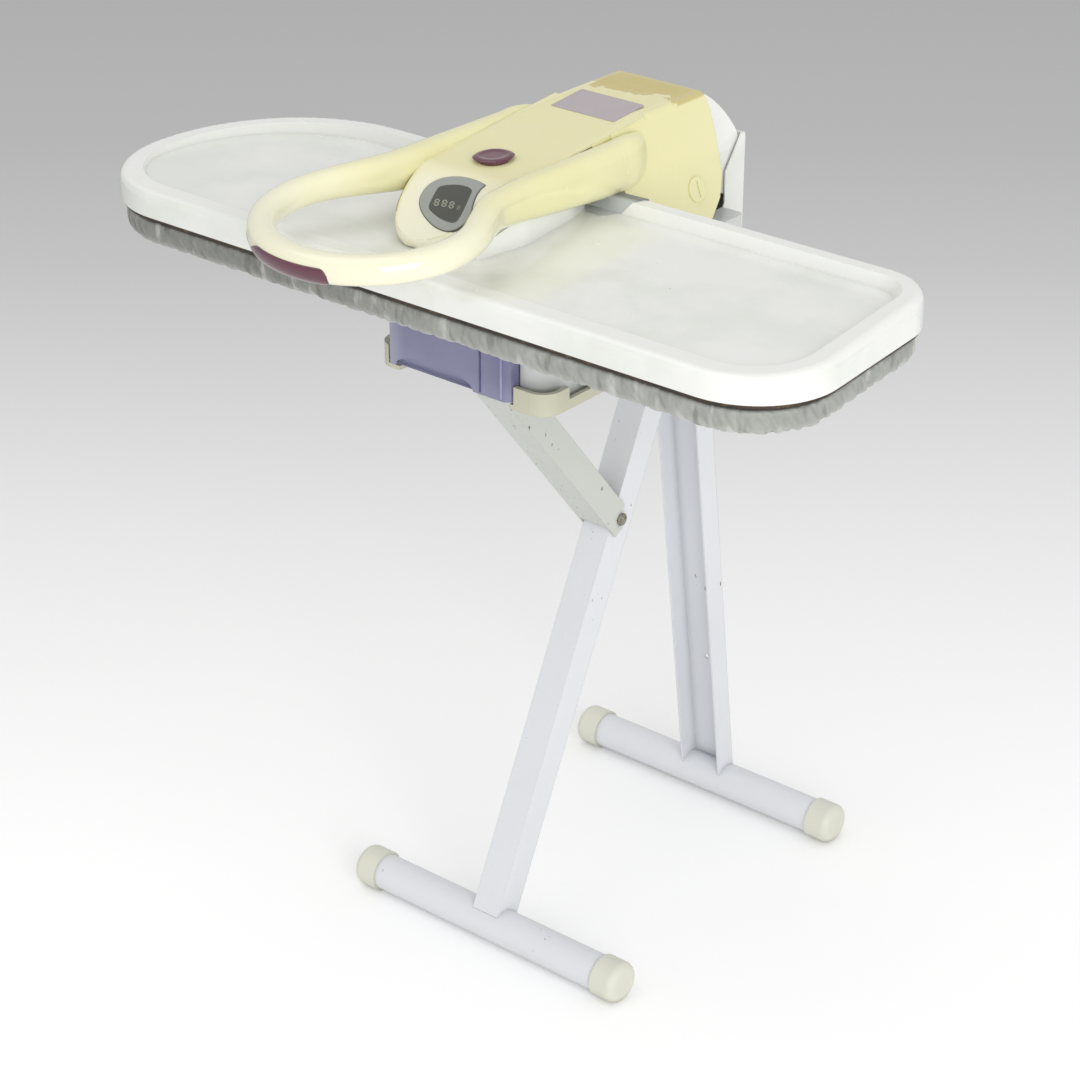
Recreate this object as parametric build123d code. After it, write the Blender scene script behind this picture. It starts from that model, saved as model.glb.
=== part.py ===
"""Steam press on a folding stand.

Frame: X runs along the pressing plate, Y from the front edge to the hinge,
Z up. The origin is on the floor, under the middle of the whole object.
"""

import os
from math import atan2, cos, degrees, radians, sin, tan

from build123d import *

# Pressing plate and board
PLATE_Z = 717.5
PLATE_FRONT = -221.5
PLATE_BACK = 20.0
NOSE_X = -362.0
END_FRONT_X = 367.3
END_BACK_X = 349.6
NOSE_BACK_R = 152.5
NOSE_FRONT_R = 88.0
END_FRONT_R = 72.0
END_BACK_R = 50.0
RIM_BACK = 29.5
RIM_FRONT = 21.5
RIM_FILLET = 8.0
DISH_FLOOR = 19.0
DISH_INSET = 19.0
COVER_WALL = 3.0
SHIELD_T = 2.0
SHIELD_INSET = 2.0
SOLE_T = 8.0
SOLE_INSET = 5.0
SOLE_Z = PLATE_Z - 3.5
PAD_TOP = 713.3
PAD_BOTTOM = 688.5
PAD_INSET = 5.0
PAD_SKIN = 1.5
BOARD_Z = 690.0
BOARD_T = 4.0

# Arm and hinge
ARM_X = -28.0
AXLE_Y = 114.0
AXLE_Z = 722.0
AXLE_R = 6.0
RUNNING_GAP = 0.05
ROOF_Z = PLATE_Z + 76.2
ROOF_HALF = 47.0
PANEL_HALF = 81.0
PANEL_BOTTOM = 695.0
PANEL_FRONT = 24.0
ARM_WALL = 3.0
CONSOLE_HALF = 48.0
NOSE_Y = -92.0
NOSE_LENGTH = 80.0
CONSOLE_BOTTOM = PLATE_Z + 30.0
FRONT_TOP_Y = -102.0
FRONT_TOP_Z = PLATE_Z + 62.4
FRONT_FOOT_Y = -172.0
FRONT_FOOT_Z = PLATE_Z + 28.0
FRAME_DROP = 16.4
SLOPE_END_Y = 70.0
INSERT_HALF = 38.0
INSERT_T = 1.5
SEAM = 0.3
BUTTON_Y = -68.5
BUTTON_R = 14.0
BEZEL_X = ARM_X + 4.0
BEZEL_DOWN = 33.0
FRAME_HALF = 41.0
FRAME_T = 3.0
CHEEK_HALF = 48.0
CHEEK_T = 4.0
DRUM_R = 81.0
DRUM_WALL = 2.5
REAR_Y = 199.0
REAR_HALF = 62.0

# Handle
GRIP_R = 12.0
LOOP_HALF = 89.0
LOOP_BEND_R = 78.0
LOOP_FRONT_Y = -299.0
LOOP_FRONT_Z = PLATE_Z + 48.0
LOOP_SLOPE = 4.2
RAIL_HALF = 66.0
RAIL_H = 36.0
RAIL_W = 21.0
RAIL_END_Y = 58.0
BAR_LEFT = -45.0
BAR_RIGHT = 42.0
BAR_TRAVEL = 1.5

# Base, tank and cradle
BASE_TOP = 688.0
BASE_BOTTOM = 597.0
BASE_LEFT = -112.0
BASE_RIGHT = 56.0
BASE_FRONT = -105.0
BASE_BACK = 168.0
BASE_WALL = 3.0
TANK_LEFT = -105.0
TANK_RIGHT = 29.0
TANK_FRONT = -118.0
TANK_DEPTH = 70.0
TANK_BOTTOM = 604.0
TANK_TOP = 683.0
TANK_WALL = 2.5
FILLER_X = -60.0
FILLER_Y = -80.0
VALVE_X = -28.0
GLAND_R = 5.5
GLAND_Y = 146.0
GLAND_Z = 620.0
CRADLE_LEFT = -121.0
CRADLE_RIGHT = 65.0
CRADLE_FRONT = -114.0
CRADLE_BACK = 228.0
CRADLE_FLOOR = 593.0
CRADLE_T = 4.0
LUG_TOP = 613.0

# Stand
STAND_X = -48.0
BAR_R = 17.5
BAR_Z = 19.7
BAR_WALL = 1.5
BAR_HALF = 132.0
CAP_R = 20.0
CAP_LENGTH = 26.0
FRONT_BAR_Y = -52.5
REAR_BAR_Y = 291.0
LEG = 30.0
LEG_WALL = 1.5
APEX_Y = 209.0
APEX_Z = 573.0
PIN_R = 5.0
CHANNEL_W = 47.0
CHANNEL_D = 24.0
CHANNEL_T = 2.0
CHANNEL_OFFSET = 5.3
BRACE_TOP_Y = -46.0
BRACE_TOP_Z = 579.0
BRACE_PIN_Y = 114.0
BRACE_PIN_Z = 384.0
BRACE_PIN_R = 4.0
BRACE_W = 35.0
BRACE_T = 2.0
BRACE_FRONT = 16.0
BRACE_BACK = 12.0

FRONT_LEAN = degrees(atan2(APEX_Y - FRONT_BAR_Y, APEX_Z - BAR_Z))
FRONT_LENGTH = (APEX_Z - BAR_Z) / cos(radians(FRONT_LEAN))
REAR_AXIS_Y = APEX_Y + CHANNEL_OFFSET
REAR_LEAN = degrees(atan2(REAR_BAR_Y - REAR_AXIS_Y, APEX_Z - BAR_Z))
BRACE_LEAN = degrees(atan2(BRACE_PIN_Y - BRACE_TOP_Y, BRACE_TOP_Z - BRACE_PIN_Z))
BRACE_LENGTH = (BRACE_TOP_Z - BRACE_PIN_Z) / cos(radians(BRACE_LEAN))
ROOF_TILT = degrees(atan2(ROOF_Z - FRONT_TOP_Z, SLOPE_END_Y - FRONT_TOP_Y))
FRONT_TILT = degrees(atan2(FRONT_TOP_Z - FRONT_FOOT_Z, FRONT_TOP_Y - FRONT_FOOT_Y))
PANEL_FLARE = (PANEL_HALF - ROOF_HALF) / (ROOF_Z - PANEL_BOTTOM)


def rod_x(radius, length, x, y, z):
    """Cylinder lying along X, centred at (x, y, z)."""
    return Pos(x, y, z) * Rot(0, 90, 0) * Cylinder(radius, length)


def tube_x(outer, inner, length, x, y, z):
    return rod_x(outer, length, x, y, z) - rod_x(inner, length + 1, x, y, z)


def block(x0, x1, y0, y1, z0, z1):
    """Box between two corners."""
    box = Box(x1 - x0, y1 - y0, z1 - z0)
    return Pos((x0 + x1) / 2, (y0 + y1) / 2, (z0 + z1) / 2) * box


def side_slab(outline, x0, x1):
    """A (y, z) outline drawn through from x0 to x1."""
    return extrude(Plane.YZ.offset(x0) * outline, x1 - x0, dir=(1, 0, 0))


def side_polygon(points, x0, x1):
    return side_slab(Polygon(*points, align=None), x0, x1)


def mirrored(part, x):
    """The part with its mirror image across the plane at x."""
    return part + mirror(part, about=Plane.YZ.offset(x))


def board_outline(inset=0.0):
    """Ironing-board outline: a round nose at -X and a slanted end at +X."""
    outline = Polygon(
        (NOSE_X, PLATE_FRONT),
        (END_FRONT_X, PLATE_FRONT),
        (END_BACK_X, PLATE_BACK),
        (NOSE_X, PLATE_BACK),
        align=None,
    )
    corners = [
        (NOSE_X, PLATE_FRONT, NOSE_FRONT_R),
        (END_FRONT_X, PLATE_FRONT, END_FRONT_R),
        (END_BACK_X, PLATE_BACK, END_BACK_R),
        (NOSE_X, PLATE_BACK, NOSE_BACK_R),
    ]
    for x, y, radius in corners:
        corner = outline.vertices().sort_by_distance((x, y, 0))[0]
        outline = fillet(corner, radius)
    if inset:
        outline = offset(outline, -inset)
    return outline


def board_slab(inset, bottom, top):
    return extrude(Pos(0, 0, bottom) * board_outline(inset), top - bottom)


def plate_cover():
    """Moulded top cover of the pressing plate, with a raised rim and a dish."""
    body = board_slab(0, PLATE_Z, PLATE_Z + RIM_BACK)
    fall = degrees(atan2(RIM_BACK - RIM_FRONT, PLATE_BACK - PLATE_FRONT))
    above = Rot(fall, 0, 0) * block(-450, 450, -400, 50, 0, 60)
    body -= Pos(0, PLATE_BACK, PLATE_Z + RIM_BACK) * above
    rim = body.edges().filter_by(lambda edge: edge.center().Z > PLATE_Z + RIM_FRONT - 4)
    body = fillet(rim, RIM_FILLET)
    dish_floor = Pos(0, 0, PLATE_Z + DISH_FLOOR) * board_outline(DISH_INSET + 4)
    dish_mouth = Pos(0, 0, PLATE_Z + DISH_FLOOR + 14) * board_outline(DISH_INSET - 4)
    body -= loft([dish_floor.face(), dish_mouth.face()], ruled=True)
    ceiling = PLATE_Z + DISH_FLOOR - COVER_WALL
    body -= board_slab(COVER_WALL, PLATE_Z - 1, ceiling)
    for x in (-260, -80, 130, 310):
        for y in (-195, -20):
            body += block(x - 6, x + 6, y - 6, y + 6, SOLE_Z + SOLE_T, ceiling + 1)
    return body


def heat_shield():
    """Pressed tray between the hot plate and the cover; its edge shows dark."""
    tray = board_slab(SHIELD_INSET, PLATE_Z - 3.3, PLATE_Z)
    return tray - board_slab(SHIELD_INSET + SHIELD_T, PLATE_Z - 4, PLATE_Z + 1)


def heated_plate():
    """Cast sole plate with rows of steam holes and a groove for the heater."""
    plate = board_slab(SOLE_INSET, SOLE_Z, SOLE_Z + SOLE_T)
    hole = Cylinder(3.0, 30)
    columns = [-270 + 90 * column for column in range(7)]
    return plate - [Pos(x, y, SOLE_Z) * hole for x in columns for y in (-180, -110, -40)]


def heating_element():
    """Hairpin heater clamped on the sole plate."""
    z = SOLE_Z + SOLE_T + 3.5
    bend = 45.0
    middle_y = -105.0
    run = rod_x(3.5, 460, 30, middle_y + bend, z) + rod_x(3.5, 460, 30, middle_y - bend, z)
    return run + Pos(-200, middle_y, z) * Rot(0, 0, 90) * Torus(bend, 3.5, major_angle=180, align=None)


def thermostat():
    """Capillary thermostat screwed to the sole plate."""
    body = Pos(60, -110, SOLE_Z + SOLE_T + 4) * Cylinder(16, 8)
    return body + Pos(60, -110, SOLE_Z + SOLE_T + 9) * Cylinder(6, 3)


def pad_shape(inset, bottom, top, radius):
    """Cushion form: a flat crown with rounded, drawn-in sides."""
    body = board_slab(inset, bottom, top)
    rims = body.edges().filter_by(lambda edge: abs(edge.center().Z - (bottom + top) / 2) > 2)
    return fillet(rims, radius)


def pad_cover():
    """Fabric cover drawn round the board, open under it inside a hem."""
    outer = pad_shape(PAD_INSET, PAD_BOTTOM, PAD_TOP, 8.0)
    inner = pad_shape(PAD_INSET + PAD_SKIN, PAD_BOTTOM + PAD_SKIN, PAD_TOP - PAD_SKIN, 6.5)
    mouth = board_slab(PAD_INSET + 26, PAD_BOTTOM - 1, PAD_BOTTOM + 4)
    return outer - inner - mouth


def foam_pad():
    inner = pad_shape(PAD_INSET + PAD_SKIN, PAD_BOTTOM + PAD_SKIN, PAD_TOP - PAD_SKIN, 6.5)
    return inner & block(-400, 400, -300, 100, BOARD_Z + BOARD_T, PAD_TOP)


def board_plate():
    """Perforated steel board under the pad."""
    plate = board_slab(PAD_INSET + 9, BOARD_Z, BOARD_Z + BOARD_T)
    slot = extrude(SlotOverall(40, 10), 20, both=True)
    columns = [-280, -220, 120, 180, 240, 300]
    return plate - [Pos(x, y, BOARD_Z) * slot for x in columns for y in (-150, -60)]


def roof_line():
    """Top of the arm, from the front of the console to the rear edge."""
    return [(FRONT_TOP_Y, FRONT_TOP_Z), (SLOPE_END_Y, ROOF_Z), (AXLE_Y + 39, ROOF_Z)]


def panel_back_line():
    """Rear edge of the side panels, from the roof down to their lower edge."""
    return [(157.0, 779.0), (155.5, 750.0), (152.0, 725.0), (142.0, 708.0), (126.0, PANEL_BOTTOM)]


def flare_prism(half_top, half_bottom, top, bottom, y0, y1):
    """Prism with sides that spread downwards, centred on the arm."""
    section = Polygon(
        (ARM_X - half_top, top),
        (ARM_X + half_top, top),
        (ARM_X + half_bottom, bottom),
        (ARM_X - half_bottom, bottom),
        align=None,
    )
    face = Plane(origin=(0, y0, 0), x_dir=(1, 0, 0), z_dir=(0, -1, 0)) * section
    return extrude(face, y1 - y0, dir=(0, 1, 0))


def arm_hood(inset):
    """Rear part of the arm: a hood with sloped side panels."""
    front = PANEL_FRONT + inset
    outline = [(front, PANEL_BOTTOM - inset), (front, frame_top(front, inset))]
    outline += [(SLOPE_END_Y, ROOF_Z - inset)]
    if inset:
        outline += [(300, ROOF_Z - inset), (300, PANEL_BOTTOM - inset)]
    else:
        outline += [(AXLE_Y + 39, ROOF_Z)] + panel_back_line()
    hood = side_polygon(outline, ARM_X - 100, ARM_X + 100)
    bottom = PANEL_BOTTOM if not inset else PANEL_BOTTOM - 5
    grow = PANEL_FLARE * (PANEL_BOTTOM - bottom)
    prism = flare_prism(ROOF_HALF - inset, PANEL_HALF - inset + grow, ROOF_Z - inset, bottom, 0, 300)
    if not inset:
        ridge = prism.edges().filter_by(Axis.Y).group_by(Axis.Z)[-1]
        prism = fillet(ridge, 7)
    return hood & prism


def console_form(inset):
    """Front part of the arm: a console with a rounded nose in plan."""
    half = CONSOLE_HALF - inset
    plan = Pos(ARM_X, NOSE_Y) * Ellipse(half, NOSE_LENGTH - inset)
    plan += Pos(ARM_X, (NOSE_Y + 70) / 2) * Rectangle(2 * half, 70 - NOSE_Y)
    bottom = CONSOLE_BOTTOM if not inset else CONSOLE_BOTTOM - 10
    column = extrude(Pos(0, 0, bottom) * plan, ROOF_Z - bottom)
    drop = inset / cos(radians(FRONT_TILT))
    outline = [
        (FRONT_FOOT_Y - 20, FRONT_FOOT_Z - 20 * tan(radians(FRONT_TILT)) - drop),
        (FRONT_TOP_Y, FRONT_TOP_Z - drop),
        (SLOPE_END_Y, ROOF_Z - inset),
        (SLOPE_END_Y, bottom - 30),
        (FRONT_FOOT_Y - 20, bottom - 30),
    ]
    return column & side_polygon(outline, ARM_X - 100, ARM_X + 100)


def arm_solid():
    """Outer form of the whole arm before it is hollowed."""
    return arm_hood(0) + console_form(0)


def insert_slab(half, depth):
    """Thin slab that follows the top of the arm."""
    (y0, z0), (y1, z1), (y2, z2) = roof_line()
    start = z0 + 6 * tan(radians(ROOF_TILT))
    outline = [(y0 + 6, start), (y1, z1), (y2 - 4, z2), (y2 - 4, z2 - depth), (y1, z1 - depth)]
    outline.append((y0 + 6, start - depth))
    return side_polygon(outline, ARM_X - half, ARM_X + half)


def roof_place(y):
    """Frame on the sloping top of the arm, with its Z square to the surface."""
    z = FRONT_TOP_Z + (y - FRONT_TOP_Y) * tan(radians(ROOF_TILT))
    return Pos(ARM_X, y, z) * Rot(ROOF_TILT, 0, 0)


def front_place():
    """Frame on the slanted front face at the middle of the display."""
    down = radians(FRONT_TILT)
    y = FRONT_TOP_Y - BEZEL_DOWN * cos(down)
    z = FRONT_TOP_Z - BEZEL_DOWN * sin(down)
    return Pos(BEZEL_X, y, z) * Rot(FRONT_TILT, 0, 0)


def bezel_outline(grow=0.0):
    """Tear-drop outline: round at the lower left, pointed at the upper right."""
    ring = Circle(25.5 + grow)
    tip = Polygon((-2, 25.4 + grow), (25.4 + grow, -2), (21.5 + grow, 25 + grow), align=None)
    return ring + tip


def display_outline(grow=0.0):
    """Window of the display, wider at the top."""
    window = Polygon((-13, 10), (-8, 17), (13, 19), (17, 9), (9, -18), (0, -18), (-13, -6), align=None)
    window = fillet(window.vertices(), 2.5)
    return offset(window, grow) if grow else window


def arm_cover():
    """Moulded hood and console, with the recesses of its insert and display."""
    shell = arm_solid() - arm_hood(ARM_WALL) - console_form(ARM_WALL)
    shell -= insert_slab(INSERT_HALF + SEAM, INSERT_T)
    shell -= roof_place(BUTTON_Y) * Cylinder(BUTTON_R + 0.4, 20)
    shell -= front_place() * extrude(bezel_outline(-2.0), 8, both=True)
    return shell - mirrored(panel_place() * Cylinder(5.2, 20), ARM_X)


def console_top():
    """Satin insert on the top of the arm, with the button hole."""
    return insert_slab(INSERT_HALF, INSERT_T) - roof_place(BUTTON_Y) * Cylinder(BUTTON_R + 0.4, 20)


def display_bezel():
    ring = extrude(bezel_outline(), 1.6) + extrude(bezel_outline(-2.4), -4)
    window = extrude(display_outline(0.2), 20, both=True)
    return front_place() * (ring - window)


def display_window():
    return front_place() * (extrude(display_outline(), 0.8) + extrude(display_outline(), -4))


def control_board():
    """Circuit board of the display, behind the slanted face."""
    return front_place() * Pos(0, 0, -4.8) * Box(40, 34, 1.6)


def nameplate():
    """Bare plate on the top of the arm."""
    plate = fillet(Box(67, 42.5, 0.8).edges().filter_by(Axis.Z), 1.5)
    y = 66.0
    return roof_place(y) * Pos(1, 0, 0.4) * plate


def steam_button():
    """Domed push button with its stem."""
    cap = Cylinder(BUTTON_R, 6, align=(Align.CENTER, Align.CENTER, Align.MIN))
    cap = Pos(0, 0, -2.5) * fillet(cap.edges().group_by(Axis.Z)[-1], 2.4)
    stem = Cylinder(4, 6, align=(Align.CENTER, Align.CENTER, Align.MAX))
    return roof_place(BUTTON_Y) * (cap + Pos(0, 0, -2.4) * stem)


def steam_switch():
    """Switch block between the button and the frame, with a well for the stem."""
    top = 8.7
    height = FRAME_DROP * cos(radians(ROOF_TILT)) - top
    case = Box(22, 16, height, align=(Align.CENTER, Align.CENTER, Align.MAX))
    well = Cylinder(4.6, 4, align=(Align.CENTER, Align.CENTER, Align.MAX))
    return roof_place(BUTTON_Y) * Pos(0, 0, -top) * (case - well)


def arm_base_cover():
    """Raised foot that carries the arm on the dish of the plate."""
    middle_y = -86.0
    foot = Pos(ARM_X, middle_y, PLATE_Z + DISH_FLOOR) * RectangleRounded(150, 158, 34)
    head = Pos(ARM_X, middle_y, CONSOLE_BOTTOM) * RectangleRounded(120, 150, 30)
    boss = loft([foot.face(), head.face()])
    return boss - frame_channel(FRAME_HALF + 0.5)


def recess_plate():
    """Small recessed plate beside the foot of the arm."""
    plate = Box(20, 34, 2, align=(Align.CENTER, Align.CENTER, Align.MIN))
    plate = fillet(plate.edges().filter_by(Axis.Z), 5)
    return Pos(58, -24, PLATE_Z + DISH_FLOOR) * plate


def frame_top(y, drop):
    """Height of the frame, at a steady depth under the top of the arm."""
    return FRONT_TOP_Z + (y - FRONT_TOP_Y) * tan(radians(ROOF_TILT)) - drop


def frame_channel(half, wall=0.0):
    """Side form of the arm's steel frame, or of its inside."""
    foot = PLATE_Z + DISH_FLOOR
    drop = FRAME_DROP + wall
    outline = [
        (-140, foot + 5 - wall),
        (-118, CONSOLE_BOTTOM - 1 - wall),
        (-96, frame_top(-96, drop)),
        (40, frame_top(40, drop)),
        (AXLE_Y + 12, AXLE_Z + 25 - wall),
    ]
    if wall:
        outline = [(-170, foot - 3)] + outline + [(200, AXLE_Z + 5), (200, 600), (10, 600)]
    else:
        outline += [(AXLE_Y + 14, AXLE_Z - 8), (AXLE_Y - 14, AXLE_Z - 12), (44, PLATE_Z + 33)]
        outline += [(8, PLATE_Z + 33), (-12, foot), (-140, foot)]
    return side_polygon(outline, ARM_X - half, ARM_X + half)


def arm_frame():
    """Folded steel channel from the plate back to the hinge."""
    channel = frame_channel(FRAME_HALF) - frame_channel(FRAME_HALF - FRAME_T, FRAME_T)
    return channel - rod_x(AXLE_R + 3, 200, ARM_X, AXLE_Y, AXLE_Z)


def hinge_axle():
    return rod_x(AXLE_R, 2 * CHEEK_HALF + 8, ARM_X, AXLE_Y, AXLE_Z)


def hinge_bush():
    """Flanged bearing bush pressed into the arm's frame, on the +X side."""
    middle = ARM_X + FRAME_HALF - FRAME_T / 2
    bush = tube_x(AXLE_R + 3, AXLE_R + RUNNING_GAP, FRAME_T, middle, AXLE_Y, AXLE_Z)
    return bush + tube_x(AXLE_R + 6, AXLE_R + RUNNING_GAP, 2, ARM_X + FRAME_HALF + 1, AXLE_Y, AXLE_Z)


def lift_spring():
    """Torsion spring on the axle, drawn as a close-wound coil, on the +X side."""
    wire = 4.0
    turns = 6
    middle = ARM_X + 20
    coil = tube_x(AXLE_R + wire, AXLE_R, turns * wire, middle, AXLE_Y, AXLE_Z)
    groove = tube_x(AXLE_R + wire + 1, AXLE_R + 0.8 * wire, 0.8, middle, AXLE_Y, AXLE_Z)
    coil -= [Pos((turn - turns / 2 + 1) * wire, 0, 0) * groove for turn in range(turns - 1)]
    leg_x = middle + (turns - 1) * wire / 2
    return coil + Pos(leg_x, AXLE_Y + AXLE_R + wire / 2, AXLE_Z - 20) * Cylinder(wire / 2, 40)


def panel_place():
    """Frame on the right side panel at the hinge, with Z square to the panel."""
    face = ARM_X + ROOF_HALF + PANEL_FLARE * (ROOF_Z - AXLE_Z)
    return Pos(face, AXLE_Y, AXLE_Z) * Rot(0, 90 - degrees(atan2(PANEL_FLARE, 1)), 0)


def hinge_cap():
    """Slotted cap that closes the end of the hinge, on the +X side."""
    disc = Cylinder(11, 2.2, align=(Align.CENTER, Align.CENTER, Align.MIN))
    disc = fillet(disc.edges().group_by(Axis.Z)[-1], 1.2)
    disc -= Pos(0, 0, 2.2) * Box(14, 2, 1.6)
    return panel_place() * (disc + Pos(0, 0, -2.5) * Cylinder(5, 5))


def arm_rear_cover():
    """Quarter drum that turns with the arm inside the rear cover of the base."""
    drum = rod_x(DRUM_R, 200, ARM_X, AXLE_Y, AXLE_Z)
    hollow = rod_x(DRUM_R - DRUM_WALL, 200, ARM_X, AXLE_Y, AXLE_Z)
    reach = 200.0
    low, high = radians(-8), radians(61)
    sector = side_polygon(
        [
            (AXLE_Y, AXLE_Z),
            (AXLE_Y + reach * cos(low), AXLE_Z + reach * sin(low)),
            (AXLE_Y + reach * cos(high), AXLE_Z + reach * sin(high)),
        ],
        ARM_X - 100,
        ARM_X + 100,
    )
    inset = ARM_WALL + 0.3
    outer = flare_prism(ROOF_HALF - inset, PANEL_HALF - inset, ROOF_Z - inset, PANEL_BOTTOM, 0, 300)
    outer &= block(ARM_X - 58.5, ARM_X + 58.5, 0, 300, 600, 900)
    inset += DRUM_WALL
    inner = flare_prism(ROOF_HALF - inset, PANEL_HALF - inset, ROOF_Z - inset, PANEL_BOTTOM, 0, 300)
    inner &= block(ARM_X - 56, ARM_X + 56, 0, 300, 600, 900)
    ends = outer - inner - rod_x(45, 200, ARM_X, AXLE_Y, AXLE_Z)
    return sector & drum & ((outer - hollow) + ends)


def loop_tube(radius):
    """Round tube of the loop, in the tilted frame of the handle."""
    flat = LOOP_HALF - LOOP_BEND_R
    bend = Pos(flat, LOOP_BEND_R, 0) * Rot(0, 0, -90) * Torus(LOOP_BEND_R, radius, major_angle=90, align=None)
    run = Pos(LOOP_HALF, LOOP_BEND_R + 6, 0) * Rot(90, 0, 0) * Cylinder(radius, 12)
    return rod_x(radius, 2 * flat, 0, 0, 0) + mirrored(bend + run, 0)


def loop_plan(grow):
    """Plan of the loop, grown outwards from its centre line."""
    radius = LOOP_BEND_R + grow
    return Pos(0, LOOP_BEND_R) * RectangleRounded(2 * (LOOP_HALF + grow), 2 * radius, radius - 0.01)


def handle_rail():
    """One rail, lofted from the round grip to a tall strip with round edges."""
    start = LOOP_BEND_R + 12
    length = RAIL_END_Y - LOOP_FRONT_Y
    stations = [
        (start, LOOP_HALF, 23.4, 23.8, 0.0),
        (start + 45, LOOP_HALF - 7, 22.5, 26.0, -2.0),
        (start + 95, RAIL_HALF + 6, 21.5, 31.0, -6.5),
        (start + 150, RAIL_HALF, RAIL_W, RAIL_H, -12.6),
        (length, RAIL_HALF - 1, RAIL_W, RAIL_H, -21.6),
    ]
    faces = []
    for y, x, width, height, z in stations:
        plane = Plane(origin=(x, y, z), x_dir=(1, 0, 0), z_dir=(0, -1, 0))
        faces.append((plane * RectangleRounded(width, height, width / 2 - 1.5)).face())
    return loft(faces)


def handle_place():
    return Pos(ARM_X, LOOP_FRONT_Y, LOOP_FRONT_Z) * Rot(LOOP_SLOPE, 0, 0)


def bar_band(depth, gap):
    """Band along the lower outer side of the loop's front, left of its middle."""
    band = extrude(Pos(0, 0, -9.5 - gap) * (loop_plan(16) - loop_plan(depth)), 9 + 2 * gap)
    return band & block(BAR_LEFT - gap, BAR_RIGHT + gap, -30, 60, -20, 20)


def handle():
    """Pressing handle: a round loop that grows into two tall rails."""
    grip = loop_tube(GRIP_R) + mirrored(handle_rail(), 0)
    grip -= bar_band(6.0 - BAR_TRAVEL - 0.6, 0.9)
    return handle_place() * grip - arm_solid()


def handle_bar():
    """Sprung press bar let into the front of the grip."""
    return handle_place() * (bar_band(6.0, 0.0) & loop_tube(GRIP_R + 0.8))


def drum_room(half, y0):
    """Room that the drum sweeps when the arm opens."""
    limit = block(ARM_X - half, ARM_X + half, y0, 300, 500, 900)
    return rod_x(DRUM_R + 1.5, 2 * half, ARM_X, AXLE_Y, AXLE_Z) & limit


def base_housing():
    """Moulded base with a bay for the water tank and slots for the hinge."""
    body = block(BASE_LEFT, BASE_RIGHT, BASE_FRONT, BASE_BACK, BASE_BOTTOM, BASE_TOP)
    corner = body.edges().filter_by(Axis.Z).sort_by_distance((BASE_RIGHT, BASE_FRONT, 640))[0]
    body = fillet(corner, 24)
    for x, y in ((BASE_LEFT, BASE_FRONT), (BASE_LEFT, BASE_BACK), (BASE_RIGHT, BASE_BACK)):
        corner = body.edges().filter_by(Axis.Z).sort_by_distance((x, y, 640))[0]
        body = fillet(corner, 5.5)
    wall = BASE_WALL
    left, right = BASE_LEFT + wall, BASE_RIGHT - wall
    bay_back = TANK_FRONT + TANK_DEPTH + 3
    body -= block(left, right, bay_back + wall, BASE_BACK - wall, BASE_BOTTOM + wall, BASE_TOP - wall)
    body -= block(left, right, bay_back + wall, 12, BASE_BOTTOM + wall, BASE_TOP + 1)
    body -= block(TANK_LEFT - 1, TANK_RIGHT + 1, BASE_FRONT - 20, bay_back, TANK_BOTTOM - 0.2, TANK_TOP + 1)
    body -= block(TANK_LEFT - 1, TANK_RIGHT + 1, BASE_FRONT - 20, BASE_FRONT + 18, BASE_BOTTOM - 1, TANK_TOP)
    slot = block(-2.6, 2.6, AXLE_Y - 24, AXLE_Y + 24, BASE_TOP - 10, BASE_TOP + 1)
    body -= mirrored(Pos(ARM_X + CHEEK_HALF - CHEEK_T / 2, 0, 0) * slot, ARM_X)
    spring_slot = block(ARM_X - 36, ARM_X + 36, AXLE_Y + 2, AXLE_Y + 14, BASE_TOP - 10, BASE_TOP + 1)
    body -= rod_x(GLAND_R, 40, BASE_LEFT, GLAND_Y, GLAND_Z)
    return body - spring_slot - drum_room(REAR_HALF - 1.5, 136)


def base_frame():
    """Steel cheeks and top plate that carry the board and hold the axle."""
    nose = ThreePointArc((AXLE_Y - 16, AXLE_Z), (AXLE_Y, AXLE_Z + 16), (AXLE_Y + 16, AXLE_Z))
    rest = Polyline(
        (AXLE_Y + 16, AXLE_Z),
        (AXLE_Y + 22, BASE_BOTTOM + BASE_WALL),
        (-20, BASE_BOTTOM + BASE_WALL),
        (-40, 640),
        (-40, BASE_TOP),
        (-18, BASE_TOP),
        (-18, BASE_TOP - 4),
        (AXLE_Y - 22, BASE_TOP - 4),
        (AXLE_Y - 16, AXLE_Z),
    )
    outline = make_face([nose, *rest.edges()])
    x0 = ARM_X + CHEEK_HALF - CHEEK_T
    cheek = side_slab(outline, x0, x0 + CHEEK_T) - rod_x(AXLE_R, 300, ARM_X, AXLE_Y, AXLE_Z)
    top = block(BASE_LEFT + 4, BASE_RIGHT - 4, -96, -14, BASE_TOP, BOARD_Z)
    return mirrored(cheek, ARM_X) + top


def base_rear_cover():
    """Rear cover of the base; its slanted side edges meet the turning drum."""
    outline = [(BASE_BACK, BASE_BOTTOM), (REAR_Y, BASE_BOTTOM), (REAR_Y, 755), (194, 755)]
    outline += [(171, 719), (171, 690), (BASE_BACK, 686)]
    body = side_polygon(outline, ARM_X - REAR_HALF, ARM_X + REAR_HALF)
    corners = body.edges().filter_by(Axis.Z).group_by(Axis.Y)[-1]
    body = fillet(corners, 4)
    half = REAR_HALF - DRUM_WALL
    room = block(ARM_X - half, ARM_X + half, BASE_BACK + 2.5, REAR_Y - DRUM_WALL, BASE_BOTTOM + 2.5, 800)
    return body - room - drum_room(half, 150)


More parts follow.
